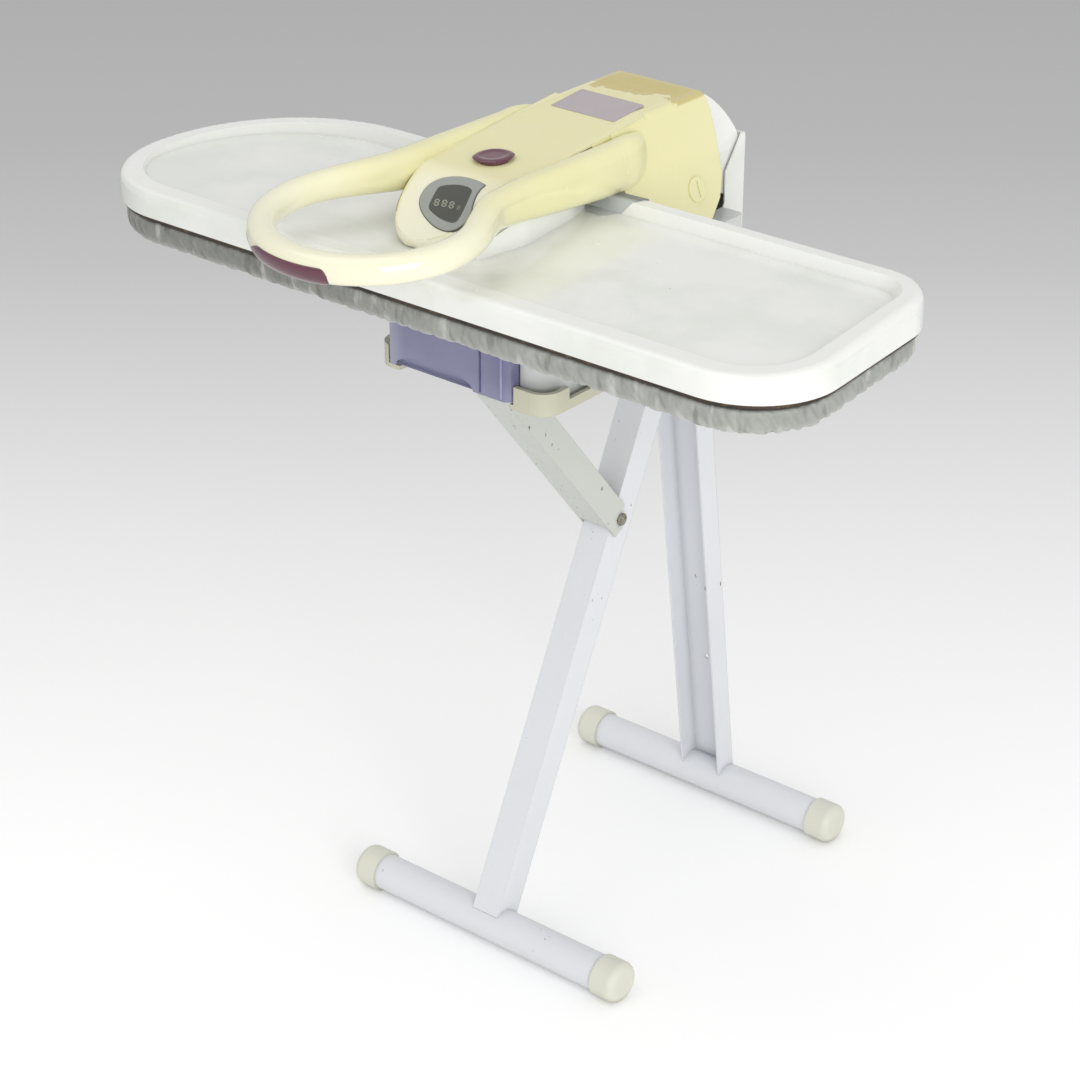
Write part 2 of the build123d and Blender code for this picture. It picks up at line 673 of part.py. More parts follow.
def arch_face(grow):
    """Low arch of the tank's finger grip, in the (x, z) plane."""
    half, rise = 36.0 + grow, 30.0 + grow
    arch = Ellipse(half, rise) & Pos(0, rise / 2) * Rectangle(2 * half, rise)
    place = Plane(origin=(-56, TANK_FRONT - 1, TANK_BOTTOM - 0.01), x_dir=(1, 0, 0), z_dir=(0, -1, 0))
    return place * arch


def water_tank():
    """Clear tank with a finger grip under its front and moulded ridges."""
    wall = TANK_WALL
    back = TANK_FRONT + TANK_DEPTH
    body = block(TANK_LEFT, TANK_RIGHT, TANK_FRONT, back, TANK_BOTTOM, TANK_TOP)
    body = fillet(body.edges().filter_by(Axis.Z), 8)
    inner = block(
        TANK_LEFT + wall, TANK_RIGHT - wall, TANK_FRONT + wall, back - wall, TANK_BOTTOM + wall, TANK_TOP - wall
    )
    inner = fillet(inner.edges().filter_by(Axis.Z), 5.5)
    inner -= extrude(arch_face(wall), 14 + wall, dir=(0, 1, 0))
    body = body - extrude(arch_face(0), 14, dir=(0, 1, 0)) - inner
    for x in (-12, 18):
        body += block(x - 1, x + 1, TANK_FRONT - 1.2, TANK_FRONT + 1, TANK_BOTTOM + 2, TANK_TOP - 2)
    body -= Pos(FILLER_X, FILLER_Y, TANK_TOP - 1) * Cylinder(13, 6)
    return body - Pos(VALVE_X, back - 1, TANK_BOTTOM + 14) * Rot(90, 0, 0) * Cylinder(6, 8)


def tank_cap():
    """Push-in cap of the filler hole, with a pull rib."""
    plug = Pos(FILLER_X, FILLER_Y, TANK_TOP - 3) * Cylinder(13, 6)
    return plug + Pos(FILLER_X, FILLER_Y, TANK_TOP - 6) * Cylinder(10, 6)


def tank_valve():
    """Outlet valve in the back wall of the tank."""
    back = TANK_FRONT + TANK_DEPTH
    valve = Pos(VALVE_X, back - 4, TANK_BOTTOM + 14) * Rot(90, 0, 0) * Cylinder(6, 10)
    return valve + Pos(VALVE_X, back - 8, TANK_BOTTOM + 14) * Rot(90, 0, 0) * Cylinder(8.5, 4)


def pump():
    """Water pump on the floor of the base."""
    floor = BASE_BOTTOM + BASE_WALL
    body = rod_x(17, 52, ARM_X, 40, floor + 19) + rod_x(8, 74, ARM_X, 40, floor + 19)
    return body + block(ARM_X - 22, ARM_X + 22, 28, 52, floor, floor + 8)


def cord_gland():
    """Strain relief of the mains inlet, at the left of the base."""
    body = rod_x(8, 3, BASE_LEFT - 1.5, GLAND_Y, GLAND_Z)
    body += rod_x(GLAND_R, 22, BASE_LEFT - 5, GLAND_Y, GLAND_Z)
    return body - rod_x(3.2, 60, BASE_LEFT, GLAND_Y, GLAND_Z)


def cradle():
    """Tray of the stand, with a castellated wall that holds the base."""
    width, length = CRADLE_RIGHT - CRADLE_LEFT, CRADLE_BACK - CRADLE_FRONT
    middle = Pos((CRADLE_LEFT + CRADLE_RIGHT) / 2, (CRADLE_FRONT + CRADLE_BACK) / 2, CRADLE_FLOOR)
    body = middle * extrude(RectangleRounded(width, length, 18), LUG_TOP - CRADLE_FLOOR)
    rim = 4.0
    hollow = extrude(RectangleRounded(width - 2 * rim, length - 2 * rim, 14), 60)
    body -= middle * Pos(0, 0, CRADLE_T) * hollow
    low = CRADLE_FLOOR + CRADLE_T
    body -= block(CRADLE_LEFT + 14, 30, CRADLE_FRONT - 1, 0, low, 700)
    for y0, y1 in ((-84, -52), (-20, 60), (92, 170)):
        body -= block(-200, 200, y0, y1, CRADLE_FLOOR + 9, 700)
    body -= block(CRADLE_LEFT + 40, CRADLE_RIGHT - 40, 150, 300, CRADLE_FLOOR + 9, 700)
    mouth = middle * Pos(-6, -length / 2) * RectangleRounded(120, 56, 18)
    window = middle * Pos(0, -10) * RectangleRounded(110, 170, 16)
    return body - extrude(mouth, 30) - extrude(window, 2 * CRADLE_T, both=True)


def cradle_bracket():
    """Steel saddle under the cradle that holds the top of the rear leg."""
    half = CHANNEL_W / 2
    top = block(STAND_X - half - 3, STAND_X + half + 3, 150, 226, CRADLE_FLOOR - 3, CRADLE_FLOOR)
    ear = block(STAND_X + half, STAND_X + half + 3, 192, 226, 550, CRADLE_FLOOR)
    ear -= rod_x(PIN_R, 100, STAND_X + half, APEX_Y, APEX_Z)
    return top + mirrored(ear, STAND_X)


def brace_bracket():
    """Steel lugs under the front of the cradle that carry the brace."""
    half = BRACE_W / 2 - BRACE_T - 0.6
    lug = block(STAND_X + half - 3, STAND_X + half, BRACE_TOP_Y - 11, BRACE_TOP_Y + 11, 570, CRADLE_FLOOR)
    lug -= rod_x(BRACE_PIN_R, 100, STAND_X, BRACE_TOP_Y, BRACE_TOP_Z)
    plate = block(STAND_X - half, STAND_X + half, BRACE_TOP_Y - 11, BRACE_TOP_Y + 60, 590, CRADLE_FLOOR)
    return plate + mirrored(lug, STAND_X)


def leaning(lean, y, z):
    """Frame at a pivot, turned so that its -Z runs down a leaning leg."""
    return Pos(STAND_X, y, z) * Rot(lean, 0, 0)


def foot_bar(y):
    return tube_x(BAR_R, BAR_R - BAR_WALL, 2 * BAR_HALF + 28, STAND_X, y, BAR_Z)


def foot_cap(y, side):
    """Domed cap pushed over the end of a foot bar, with a narrow flat to stand on."""
    end = BAR_HALF + CAP_LENGTH
    outline = [(0, BAR_HALF + 14), (BAR_R, BAR_HALF + 14), (BAR_R, BAR_HALF), (CAP_R, BAR_HALF)]
    outline += [(CAP_R, end), (0, end)]
    cap = revolve(Plane.XZ * Polygon(*outline, align=None), Axis.Z)
    rim = cap.edges().group_by(Axis.Z)[-1]
    cap = Pos(STAND_X, y, BAR_Z) * Rot(0, side * 90, 0) * fillet(rim, 8)
    return cap & block(-400, 400, y - 50, y + 50, 0, 80)


def front_leg():
    """Square tube from the front foot bar up to the pivot."""
    reach = FRONT_LENGTH
    outer = block(-LEG / 2, LEG / 2, -LEG / 2, LEG / 2, -reach, 0) + rod_x(LEG / 2, LEG, 0, 0, 0)
    inner_half = LEG / 2 - LEG_WALL
    inner = block(-inner_half, inner_half, -inner_half, inner_half, -reach, 0)
    inner += rod_x(inner_half, 2 * inner_half, 0, 0, 0)
    leg = leaning(-FRONT_LEAN, APEX_Y, APEX_Z) * (outer - inner - rod_x(PIN_R + RUNNING_GAP, 60, 0, 0, 0))
    leg -= rod_x(BAR_R, 100, STAND_X, FRONT_BAR_Y, BAR_Z)
    return leg - rod_x(BRACE_PIN_R, 60, STAND_X, BRACE_PIN_Y, BRACE_PIN_Z)


def rear_leg():
    """Open channel from the rear foot bar up to the cradle."""
    reach = (APEX_Z - BAR_Z) / cos(radians(REAR_LEAN))
    half, depth, wall = CHANNEL_W / 2, CHANNEL_D / 2, CHANNEL_T
    rise = (CRADLE_FLOOR - 3 - APEX_Z) / cos(radians(REAR_LEAN)) + 6
    channel = block(-half, half, -depth, depth, -reach, rise)
    channel -= block(-half + wall, half - wall, -depth - 1, depth - wall, -reach, rise)
    channel -= Pos(0, 0, -0.75 * reach) * Rot(90, 0, 0) * Cylinder(2.5, 60)
    leg = leaning(REAR_LEAN, REAR_AXIS_Y, APEX_Z) * channel
    leg -= rod_x(BAR_R, 100, STAND_X, REAR_BAR_Y, BAR_Z) + rod_x(PIN_R, 100, STAND_X, APEX_Y, APEX_Z)
    return leg & block(-200, 200, 100, 400, 0, CRADLE_FLOOR - 3)


def apex_pin():
    """Through bolt on which the front leg swings."""
    length = CHANNEL_W + 12
    heads = rod_x(8, 4, STAND_X + length / 2 - 1, APEX_Y, APEX_Z)
    return rod_x(PIN_R, length, STAND_X, APEX_Y, APEX_Z) + mirrored(heads, STAND_X)


def apex_bush():
    """Spacer between the leg and the channel, on the +X side."""
    width = (CHANNEL_W - LEG) / 2 - CHANNEL_T - 0.3
    x = STAND_X + LEG / 2 + 0.3 + width / 2
    return tube_x(10, PIN_R, width, x, APEX_Y, APEX_Z)


def brace_arm():
    """Channel strut; its forked lower end seats on the cross pin of the leg."""
    half = BRACE_W / 2
    web_end = -BRACE_LENGTH + 11
    outline = [
        (-BRACE_FRONT, -10),
        (-6, 10),
        (6, 10),
        (BRACE_BACK, -4),
        (BRACE_BACK, -BRACE_LENGTH + 6.2),
        (-BRACE_PIN_R - 0.4, -BRACE_LENGTH + BRACE_PIN_R + 0.8),
        (-BRACE_PIN_R - 0.4, -BRACE_LENGTH - 9),
        (-BRACE_FRONT, -BRACE_LENGTH - 7),
    ]
    body = side_polygon(outline, -half, half)
    body -= block(-half + BRACE_T, half - BRACE_T, -BRACE_FRONT + BRACE_T, 40, -400, 40)
    body -= block(-half + BRACE_T, half - BRACE_T, -40, 40, -14, 40)
    under = [(-40, web_end - 18), (-BRACE_FRONT, web_end - 1), (0, web_end + 6), (0, -400), (-40, -400)]
    body -= side_polygon(under, -half + BRACE_T, half - BRACE_T)
    body -= rod_x(BRACE_PIN_R + RUNNING_GAP, 100, 0, 0, 0)
    return leaning(BRACE_LEAN, BRACE_TOP_Y, BRACE_TOP_Z) * body


def cross_pin(y, z):
    """Riveted pin through the width of the brace."""
    length = BRACE_W + 1
    head = rod_x(BRACE_PIN_R + 2, 1.6, STAND_X + length / 2 + 0.8, y, z)
    return rod_x(BRACE_PIN_R, length, STAND_X, y, z) + mirrored(head, STAND_X)


def build_parts():
    """Every piece of the object, by name."""
    parts = {
        "plate_cover": plate_cover(),
        "heat_shield": heat_shield(),
        "heated_plate": heated_plate(),
        "heating_element": heating_element(),
        "thermostat": thermostat(),
        "pad_cover": pad_cover(),
        "foam_pad": foam_pad(),
        "board_plate": board_plate(),
        "arm_cover": arm_cover(),
        "console_top": console_top(),
        "display_bezel": display_bezel(),
        "display_window": display_window(),
        "control_board": control_board(),
        "nameplate": nameplate(),
        "steam_button": steam_button(),
        "steam_switch": steam_switch(),
        "arm_base_cover": arm_base_cover(),
        "recess_plate": recess_plate(),
        "arm_frame": arm_frame(),
        "arm_rear_cover": arm_rear_cover(),
        "handle": handle(),
        "handle_bar": handle_bar(),
        "hinge_axle": hinge_axle(),
        "base_housing": base_housing(),
        "base_frame": base_frame(),
        "base_rear_cover": base_rear_cover(),
        "water_tank": water_tank(),
        "tank_cap": tank_cap(),
        "tank_valve": tank_valve(),
        "pump": pump(),
        "cord_gland": cord_gland(),
        "cradle": cradle(),
        "cradle_bracket": cradle_bracket(),
        "brace_bracket": brace_bracket(),
        "brace_pin": cross_pin(BRACE_TOP_Y, BRACE_TOP_Z),
        "brace_arm": brace_arm(),
        "leg_pin": cross_pin(BRACE_PIN_Y, BRACE_PIN_Z),
        "front_leg": front_leg(),
        "rear_leg": rear_leg(),
        "apex_pin": apex_pin(),
        "front_foot_bar": foot_bar(FRONT_BAR_Y),
        "rear_foot_bar": foot_bar(REAR_BAR_Y),
    }
    pairs = {
        "hinge_bush": (hinge_bush(), ARM_X),
        "hinge_cap": (hinge_cap(), ARM_X),
        "lift_spring": (lift_spring(), ARM_X),
        "apex_bush": (apex_bush(), STAND_X),
    }
    for name, (part, x) in pairs.items():
        parts[name + "_right"] = part
        parts[name + "_left"] = mirror(part, about=Plane.YZ.offset(x))
    for bar, y in (("front", FRONT_BAR_Y), ("rear", REAR_BAR_Y)):
        parts[bar + "_cap_right"] = foot_cap(y, 1)
        parts[bar + "_cap_left"] = foot_cap(y, -1)
    return parts


def main():
    os.makedirs("parts", exist_ok=True)
    for name, part in build_parts().items():
        export_step(part, "parts/" + name + ".step")


main()
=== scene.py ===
"""Looks of the steam press on its folding stand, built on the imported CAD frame."""

from math import atan2, cos, pi, radians, sin

import bpy
import numpy as np
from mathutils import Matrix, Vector


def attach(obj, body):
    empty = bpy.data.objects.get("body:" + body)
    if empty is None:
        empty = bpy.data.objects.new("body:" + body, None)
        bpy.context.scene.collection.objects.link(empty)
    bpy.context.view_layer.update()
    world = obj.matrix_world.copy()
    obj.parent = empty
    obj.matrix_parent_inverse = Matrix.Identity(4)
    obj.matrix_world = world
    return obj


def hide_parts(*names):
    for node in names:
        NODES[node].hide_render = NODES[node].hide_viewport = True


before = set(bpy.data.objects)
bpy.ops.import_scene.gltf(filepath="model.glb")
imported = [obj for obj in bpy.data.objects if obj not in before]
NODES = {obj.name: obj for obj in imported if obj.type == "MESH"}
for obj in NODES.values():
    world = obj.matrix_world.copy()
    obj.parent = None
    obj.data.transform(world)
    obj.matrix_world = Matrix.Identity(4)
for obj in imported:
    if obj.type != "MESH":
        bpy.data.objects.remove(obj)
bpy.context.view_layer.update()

MM = 0.001
# Driving dimensions that the scene shares with the CAD, in millimetres. Heights over PLATE_Z end in _H.
PLATE_Z = 717.5
ARM_X = -28.0
AXLE_Y, AXLE_Z = 114.0, 722.0
FRONT_FOOT_Y, FRONT_FOOT_H = -172.0, 28.0
FRONT_TOP_Y, FRONT_TOP_H = -102.0, 62.4
SLOPE_END_Y, ROOF_H = 70.0, 76.2


def srgb(red, green, blue):
    """A colour as it shows on a screen, 0 to 255, as linear values."""
    values = []
    for channel in (red, green, blue):
        c = channel / 255
        values.append(c / 12.92 if c <= 0.04045 else ((c + 0.055) / 1.055) ** 2.4)
    return (*values, 1.0)


class Surface:
    """A material that is built up in layers of colour, roughness and relief."""

    def __init__(self, name, color, rough, **fixed):
        self.material = bpy.data.materials.new(name)
        self.material.use_nodes = True
        self.tree = self.material.node_tree
        self.shader = self.tree.nodes["Principled BSDF"]
        self.shader.inputs["Base Color"].default_value = color
        self.shader.inputs["Roughness"].default_value = rough
        for socket, value in fixed.items():
            self.shader.inputs[socket.replace("_", " ")].default_value = value
        self.color = color
        self.rough = rough
        self.normal = None
        self.place = self.node("TexCoord").outputs["Object"]

    def node(self, kind, **inputs):
        node = self.tree.nodes.new("ShaderNode" + kind)
        for key, value in inputs.items():
            self.feed(node.inputs[key.replace("_", " ")], value)
        return node

    def feed(self, socket, value):
        if isinstance(value, bpy.types.NodeSocket):
            self.tree.links.new(value, socket)
        else:
            socket.default_value = value

    def stretched(self, scale):
        mapping = self.node("Mapping", Vector=self.place)
        mapping.inputs["Scale"].default_value = scale
        return mapping.outputs["Vector"]

    def noise(self, scale, detail=3.0, rough=0.5, stretch=None):
        vector = self.stretched(stretch) if stretch else self.place
        node = self.node("TexNoise", Vector=vector, Scale=scale, Detail=detail, Roughness=rough)
        return node.outputs["Fac"]

    def cells(self, scale, feature="F1"):
        node = self.node("TexVoronoi", Vector=self.place, Scale=scale)
        node.feature = feature
        return node

    def waves(self, scale, axis="X", distortion=0.0):
        node = self.node("TexWave", Vector=self.place, Scale=scale, Distortion=distortion)
        node.bands_direction = axis
        return node.outputs["Fac"]

    def span(self, value, low, high, to_low=0.0, to_high=1.0):
        node = self.node("MapRange", Value=value)
        node.interpolation_type = "SMOOTHSTEP"
        for key, number in zip(("From Min", "From Max", "To Min", "To Max"), (low, high, to_low, to_high)):
            node.inputs[key].default_value = number
        return node.outputs["Result"]

    def math(self, operation, first, second=0.0):
        node = self.node("Math")
        node.operation = operation
        self.feed(node.inputs[0], first)
        self.feed(node.inputs[1], second)
        return node.outputs[0]

    def times(self, first, second):
        return self.math("MULTIPLY", first, second)

    def axis(self, name):
        return self.node("SeparateXYZ", Vector=self.place).outputs[name]

    def hollow(self, distance, low=0.55, high=0.95):
        """1 in corners and seams, 0 on open faces."""
        node = self.node("AmbientOcclusion", Distance=distance)
        node.samples = 6
        return self.span(node.outputs["AO"], low, high, 1.0, 0.0)

    def tint(self, mask, color):
        node = self.node("Mix")
        node.data_type = "RGBA"
        self.feed(node.inputs[0], mask)
        self.feed(node.inputs[6], self.color)
        self.feed(node.inputs[7], color)
        self.color = node.outputs[2]
        return self

    def polish(self, mask, rough):
        node = self.node("Mix")
        node.data_type = "FLOAT"
        self.feed(node.inputs[0], mask)
        self.feed(node.inputs[2], self.rough)
        self.feed(node.inputs[3], rough)
        self.rough = node.outputs[0]
        return self

    def relief(self, height, strength, distance):
        node = self.node("Bump", Height=height, Strength=strength, Distance=distance)
        if self.normal is not None:
            self.feed(node.inputs["Normal"], self.normal)
        self.normal = node.outputs["Normal"]
        return self

    def rounded(self, radius):
        node = self.node("Bevel", Radius=radius)
        node.samples = 4
        self.normal = node.outputs["Normal"]
        return self

    def done(self):
        self.feed(self.shader.inputs["Base Color"], self.color)
        self.feed(self.shader.inputs["Roughness"], self.rough)
        if self.normal is not None:
            self.feed(self.shader.inputs["Normal"], self.normal)
        return self.material


def lighter(color, factor):
    return (*(min(1.0, channel * factor) for channel in color[:3]), 1.0)


def moulded(name, color, rough, spread=0.05, grain=0.0, radius=0.0006, corner_shade=0.25, **fixed):
    """Moulded plastic: cloudy colour, uneven gloss, a fine skin and painted shade in its corners."""
    s = Surface(name, color, rough, **fixed).rounded(radius)
    s.tint(s.span(s.noise(9, 4), 0.35, 0.7), lighter(color, 1 - spread))
    s.tint(s.span(s.noise(55, 3), 0.55, 0.8, 0, 0.5), lighter(color, 1 + spread))
    # Painted shade: the colour darkens where ambient occlusion finds corners and seams.
    if corner_shade:
        s.tint(s.times(s.hollow(0.012), corner_shade), lighter(color, 0.55))
    s.polish(s.span(s.noise(28, 5, 0.6), 0.4, 0.75), min(1.0, rough * 1.5 + 0.04))
    s.polish(s.span(s.noise(6, 3, 0.6, (1, 9, 3)), 0.62, 0.7, 0, 0.6), min(1.0, rough * 1.9 + 0.05))
    if grain:
        s.relief(s.noise(1700, 2), grain, 0.00025)
    s.relief(s.noise(34, 2), 0.06, 0.0008)
    return s


def specks(s, scale, share, color, size=0.32):
    """A few small marks, each in its own random cell."""
    cell = s.cells(scale)
    chosen = s.node("SeparateColor", Color=cell.outputs["Color"]).outputs["Red"]
    spot = s.span(cell.outputs["Distance"], size * 0.5, size, 1, 0)
    s.tint(s.times(spot, s.math("GREATER_THAN", chosen, 1 - share)), color)
    return s


def cover_white():
    s = moulded("cover_white", srgb(238, 239, 235), 0.14, 0.015, Coat_Weight=0.35, Coat_Roughness=0.06)
    height = s.axis("Z")
    floor = s.span(height, 0.7370, 0.7385, 1, 0)
    s.tint(s.times(floor, s.span(s.noise(11, 5, 0.62), 0.42, 0.66, 0, 0.55)), srgb(222, 225, 215))
    s.tint(s.times(floor, s.span(s.noise(5, 3, 0.6), 0.5, 0.7, 0, 0.35)), srgb(212, 217, 208))
    specks(s, 85, 0.010, srgb(196, 192, 176), 0.12)
    specks(s, 150, 0.004, srgb(132, 128, 118), 0.14)
    scratches = s.span(s.noise(90, 2, 0.5, (1, 14, 1)), 0.70, 0.74, 0, 0.5)
    return s.polish(scratches, 0.36).done()


def arm_cream():
    """Yellowed cream: paler towards the loop with a painted highlight, deeper on the rails."""
    coat = {"Coat_Weight": 0.5, "Coat_Roughness": 0.04}
    s = moulded("arm_cream", srgb(236, 231, 177), 0.15, 0.012, corner_shade=0.15, **coat)
    s.tint(s.span(s.noise(5.5, 4), 0.4, 0.68, 0, 0.45), srgb(240, 236, 192))
    # Painted highlight: the front of the arm and the loop are paler, as if lit.
    reach = s.math("ADD", s.axis("Y"), s.span(s.noise(16, 3), 0.3, 0.7, -0.02, 0.02))
    s.tint(s.span(reach, -0.235, -0.10, 0.85, 0.0), srgb(240, 238, 214))
    side = s.math("SUBTRACT", s.axis("Z"), s.times(s.axis("Y"), 0.08))
    low = s.times(s.span(side, 0.742, 0.775, 0.5, 0), s.span(s.axis("Y"), -0.03, 0.03, 1, 0))
    s.tint(low, srgb(240, 240, 206))
    edge = s.math("ADD", s.axis("Y"), s.span(s.noise(70, 4, 0.6), 0.3, 0.7, -0.006, 0.006))
    top = s.span(s.axis("Z"), 0.789, 0.7915)
    s.tint(s.times(s.span(edge, 0.115, 0.1175), top), srgb(206, 193, 128))
    return s.done()


def console_cream():
    """Satin top of the arm: pale at the nose with a painted highlight, and a browned patch at the rear edge.
    """
    s = moulded("console_cream", srgb(234, 228, 180), 0.36, 0.015, grain=0.08, corner_shade=0.1)
    # Painted highlight: the nose is paler, as if lit.
    s.tint(s.span(s.axis("Y"), -0.125, -0.088, 0.85, 0.0), srgb(242, 240, 220))
    drift = s.times(s.axis("X"), 0.16)
    ragged = s.span(s.noise(52, 5, 0.62), 0.3, 0.7, -0.009, 0.009)
    edge = s.math("ADD", s.math("SUBTRACT", s.axis("Y"), drift), ragged)
    s.tint(s.span(edge, 0.1120, 0.1140, 0, 0.3), srgb(238, 234, 200))
    s.tint(s.span(edge, 0.1165, 0.1180), srgb(206, 192, 128))
    return s.done()


def burgundy():
    s = moulded("burgundy", srgb(98, 48, 66), 0.14, 0.1, Coat_Weight=0.6, Coat_Roughness=0.05)
    return s.done()


def bezel_grey():
    return moulded("bezel_grey", srgb(158, 161, 156), 0.3, 0.04, grain=0.08).done()


def display_glass():
    s = Surface("display_glass", srgb(66, 68, 58), 0.16, Coat_Weight=0.5, Coat_Roughness=0.05)
    s.tint(s.span(s.noise(14, 2), 0.35, 0.7), srgb(56, 58, 49))
    return s.polish(s.span(s.noise(60, 5), 0.45, 0.7, 0, 0.4), 0.28).done()


def digit_grey_glow():
    # Painted glow: the grey digits give off a faint light of their own.
    s = Surface("digit_grey_glow", srgb(150, 154, 140), 0.45, Emission_Strength=0.05)
    s.shader.inputs["Emission Color"].default_value = srgb(150, 154, 140)
    s.tint(s.span(s.noise(260, 2), 0.35, 0.65), srgb(150, 154, 136))
    return s.done()


def line_grey():
    s = Surface("line_grey", srgb(92, 92, 92), 0.5)
    return s.tint(s.span(s.noise(80, 3), 0.4, 0.7), srgb(74, 74, 74)).done()


def pocket_shade():
    """Painted shade: blue-grey for the shaded floor of the plate beside the arm, darker towards its rear
    edge.
    """
    s = moulded("pocket_shade", srgb(190, 195, 196), 0.3, 0.03)
    return s.tint(s.span(s.axis("Y"), 0.001, 0.009, 0, 0.85), srgb(112, 116, 120)).done()


def seam_brown():
    s = Surface("seam_brown", srgb(148, 128, 84), 0.6)
    return s.tint(s.span(s.noise(60, 3), 0.4, 0.7), srgb(112, 96, 66)).done()


def plate_grey():
    s = moulded("plate_grey", srgb(178, 168, 172), 0.34, 0.03)
    s.tint(s.span(s.noise(420, 2, 0.5, (1, 12, 12)), 0.35, 0.65, 0, 0.5), srgb(190, 181, 184))
    return s.done()


def board_green():
    s = Surface("board_green", srgb(38, 92, 58), 0.35).rounded(0.0003)
    s.tint(s.span(s.cells(420, "DISTANCE_TO_EDGE").outputs["Distance"], 0.04, 0.1, 1, 0), srgb(96, 140, 88))
    return s.done()


def dark_edge():
    s = Surface("dark_edge", srgb(66, 52, 36), 0.55).rounded(0.0004)
    s.tint(s.span(s.noise(38, 4, 0.6, (1, 1, 5)), 0.35, 0.7), srgb(36, 31, 26))
    s.tint(s.span(s.noise(90, 4, 0.6), 0.55, 0.75), srgb(112, 90, 54))
    s.relief(s.noise(600, 3), 0.25, 0.0004)
    return s.done()


def sole_metal():
    s = Surface("sole_metal", srgb(196, 197, 198), 0.3, Metallic=1.0).rounded(0.0005)
    s.tint(s.span(s.noise(16, 5, 0.6), 0.4, 0.7), srgb(176, 174, 168))
    s.tint(s.times(s.hollow(0.006), 0.5), srgb(120, 106, 84))
    s.polish(s.span(s.noise(140, 3, 0.5, (14, 1, 1)), 0.4, 0.7), 0.45)
    return s.relief(s.noise(220, 2, 0.5, (18, 1, 1)), 0.1, 0.0002).done()


def heater_steel():
    s = Surface("heater_steel", srgb(150, 142, 132), 0.35, Metallic=0.9)
    s.tint(s.span(s.noise(30, 4), 0.35, 0.7), srgb(112, 96, 84))
    return s.relief(s.noise(500, 2), 0.1, 0.0002).done()


def silver_fabric():
    """Silvered cotton: a tight weave, with painted highlights on folds that stand out and painted shade
    between them.
    """
    sheen = {"Sheen_Weight": 0.2, "Sheen_Roughness": 0.5}
    s = Surface("silver_fabric", srgb(154, 156, 150), 0.5, Metallic=0.1, **sheen)
    s.tint(s.span(s.noise(26, 5, 0.6), 0.4, 0.72, 0, 0.6), srgb(178, 180, 174))
    # Painted shade: the fabric darkens towards its left end.
    s.tint(s.span(s.axis("X"), -0.12, 0.10, 0.6, 0), srgb(112, 113, 108))
    # Painted light: the top of the side is lightened against the shadow of the plate over it.
    s.tint(s.span(s.axis("Z"), 0.7055, 0.7120, 0, 0.35), srgb(186, 187, 181))
    s.tint(s.span(s.axis("Z"), 0.6900, 0.6985, 0.5, 0), srgb(186, 187, 182))
    # Painted shade: the colour darkens where ambient occlusion finds the hollows between folds.
    s.tint(s.times(s.hollow(0.006, 0.5, 0.92), 0.8), srgb(74, 74, 68))
    s.polish(s.span(s.noise(60, 4), 0.4, 0.7), 0.66)
    slant = s.node("Mapping", Vector=s.place)
    slant.inputs["Rotation"].default_value = (0.0, radians(-38), 0.0)
    slant.inputs["Scale"].default_value = (1.0, 0.5, 0.22)
    lean = slant.outputs["Vector"]
    fold = s.node("TexNoise", Vector=lean, Scale=95, Detail=2.5, Roughness=0.5).outputs["Fac"]
    side = s.span(s.axis("Z"), 0.7105, 0.7128, 1, 0)
    # Painted highlight on the crests of the folds, and painted shade in their troughs.
    s.tint(s.times(side, s.span(fold, 0.56, 0.70, 0, 0.55)), srgb(204, 205, 200))
    s.tint(s.times(side, s.span(fold, 0.32, 0.44, 0.5, 0)), srgb(96, 97, 91))
    s.relief(s.times(side, fold), 0.7, 0.004)
    weft = s.waves(620, "X", 0.6)
    warp = s.times(s.waves(620, "Y", 0.6), s.waves(620, "Z", 0.6))
    s.relief(s.math("ADD", weft, warp), 0.14, 0.0002)
    return s.relief(s.noise(190, 4, 0.65), 0.35, 0.0014).done()


def felt():
    s = Surface("felt", srgb(206, 200, 182), 0.95, Sheen_Weight=0.3)
    s.tint(s.span(s.noise(300, 4), 0.35, 0.7), srgb(188, 180, 160))
    return s.relief(s.noise(900, 4, 0.7), 0.6, 0.0008).done()


def board_paint():
    s = Surface("board_paint", srgb(150, 151, 150), 0.5).rounded(0.0005)
    s.tint(s.span(s.noise(40, 4), 0.4, 0.7), srgb(136, 138, 138))
    return s.relief(s.noise(900, 2), 0.15, 0.0002).done()


def zinc():
    s = Surface("zinc", srgb(178, 180, 182), 0.36, Metallic=0.9).rounded(0.0005)
    s.tint(s.span(s.cells(70).outputs["Distance"], 0.2, 0.7), srgb(156, 158, 160))
    return s.polish(s.span(s.noise(120, 4), 0.4, 0.7), 0.5).done()


def base_grey():
    return moulded("base_grey", srgb(214, 216, 214), 0.3, 0.03, grain=0.1).done()


def tank_purple():
    """Clear purple plastic: a painted highlight at its left end, deeper to the right and in its thick edges,
    and paler at the bottom.
    """
    clear = {"IOR": 1.49, "Transmission_Weight": 0.3, "Coat_Weight": 0.4}
    s = Surface("tank_purple", srgb(154, 154, 188), 0.12, **clear)
    # Painted highlight: the rounded left end is paler.
    s.tint(s.span(s.axis("X"), -0.105, -0.082, 0.85, 0), srgb(206, 206, 222))
    s.tint(s.span(s.axis("X"), -0.004, 0.020, 0, 0.55), srgb(122, 122, 164))
    # Painted light: the bottom is paler, for light seen through the thin base.
    s.tint(s.span(s.axis("Z"), 0.6, 0.622, 0.45, 0), srgb(176, 176, 208))
    s.tint(s.span(s.noise(20, 4), 0.4, 0.7, 0, 0.3), srgb(136, 136, 176))
    s.polish(s.span(s.noise(45, 5), 0.45, 0.7), 0.24)
    return s.relief(s.noise(60, 2), 0.06, 0.0006).done()


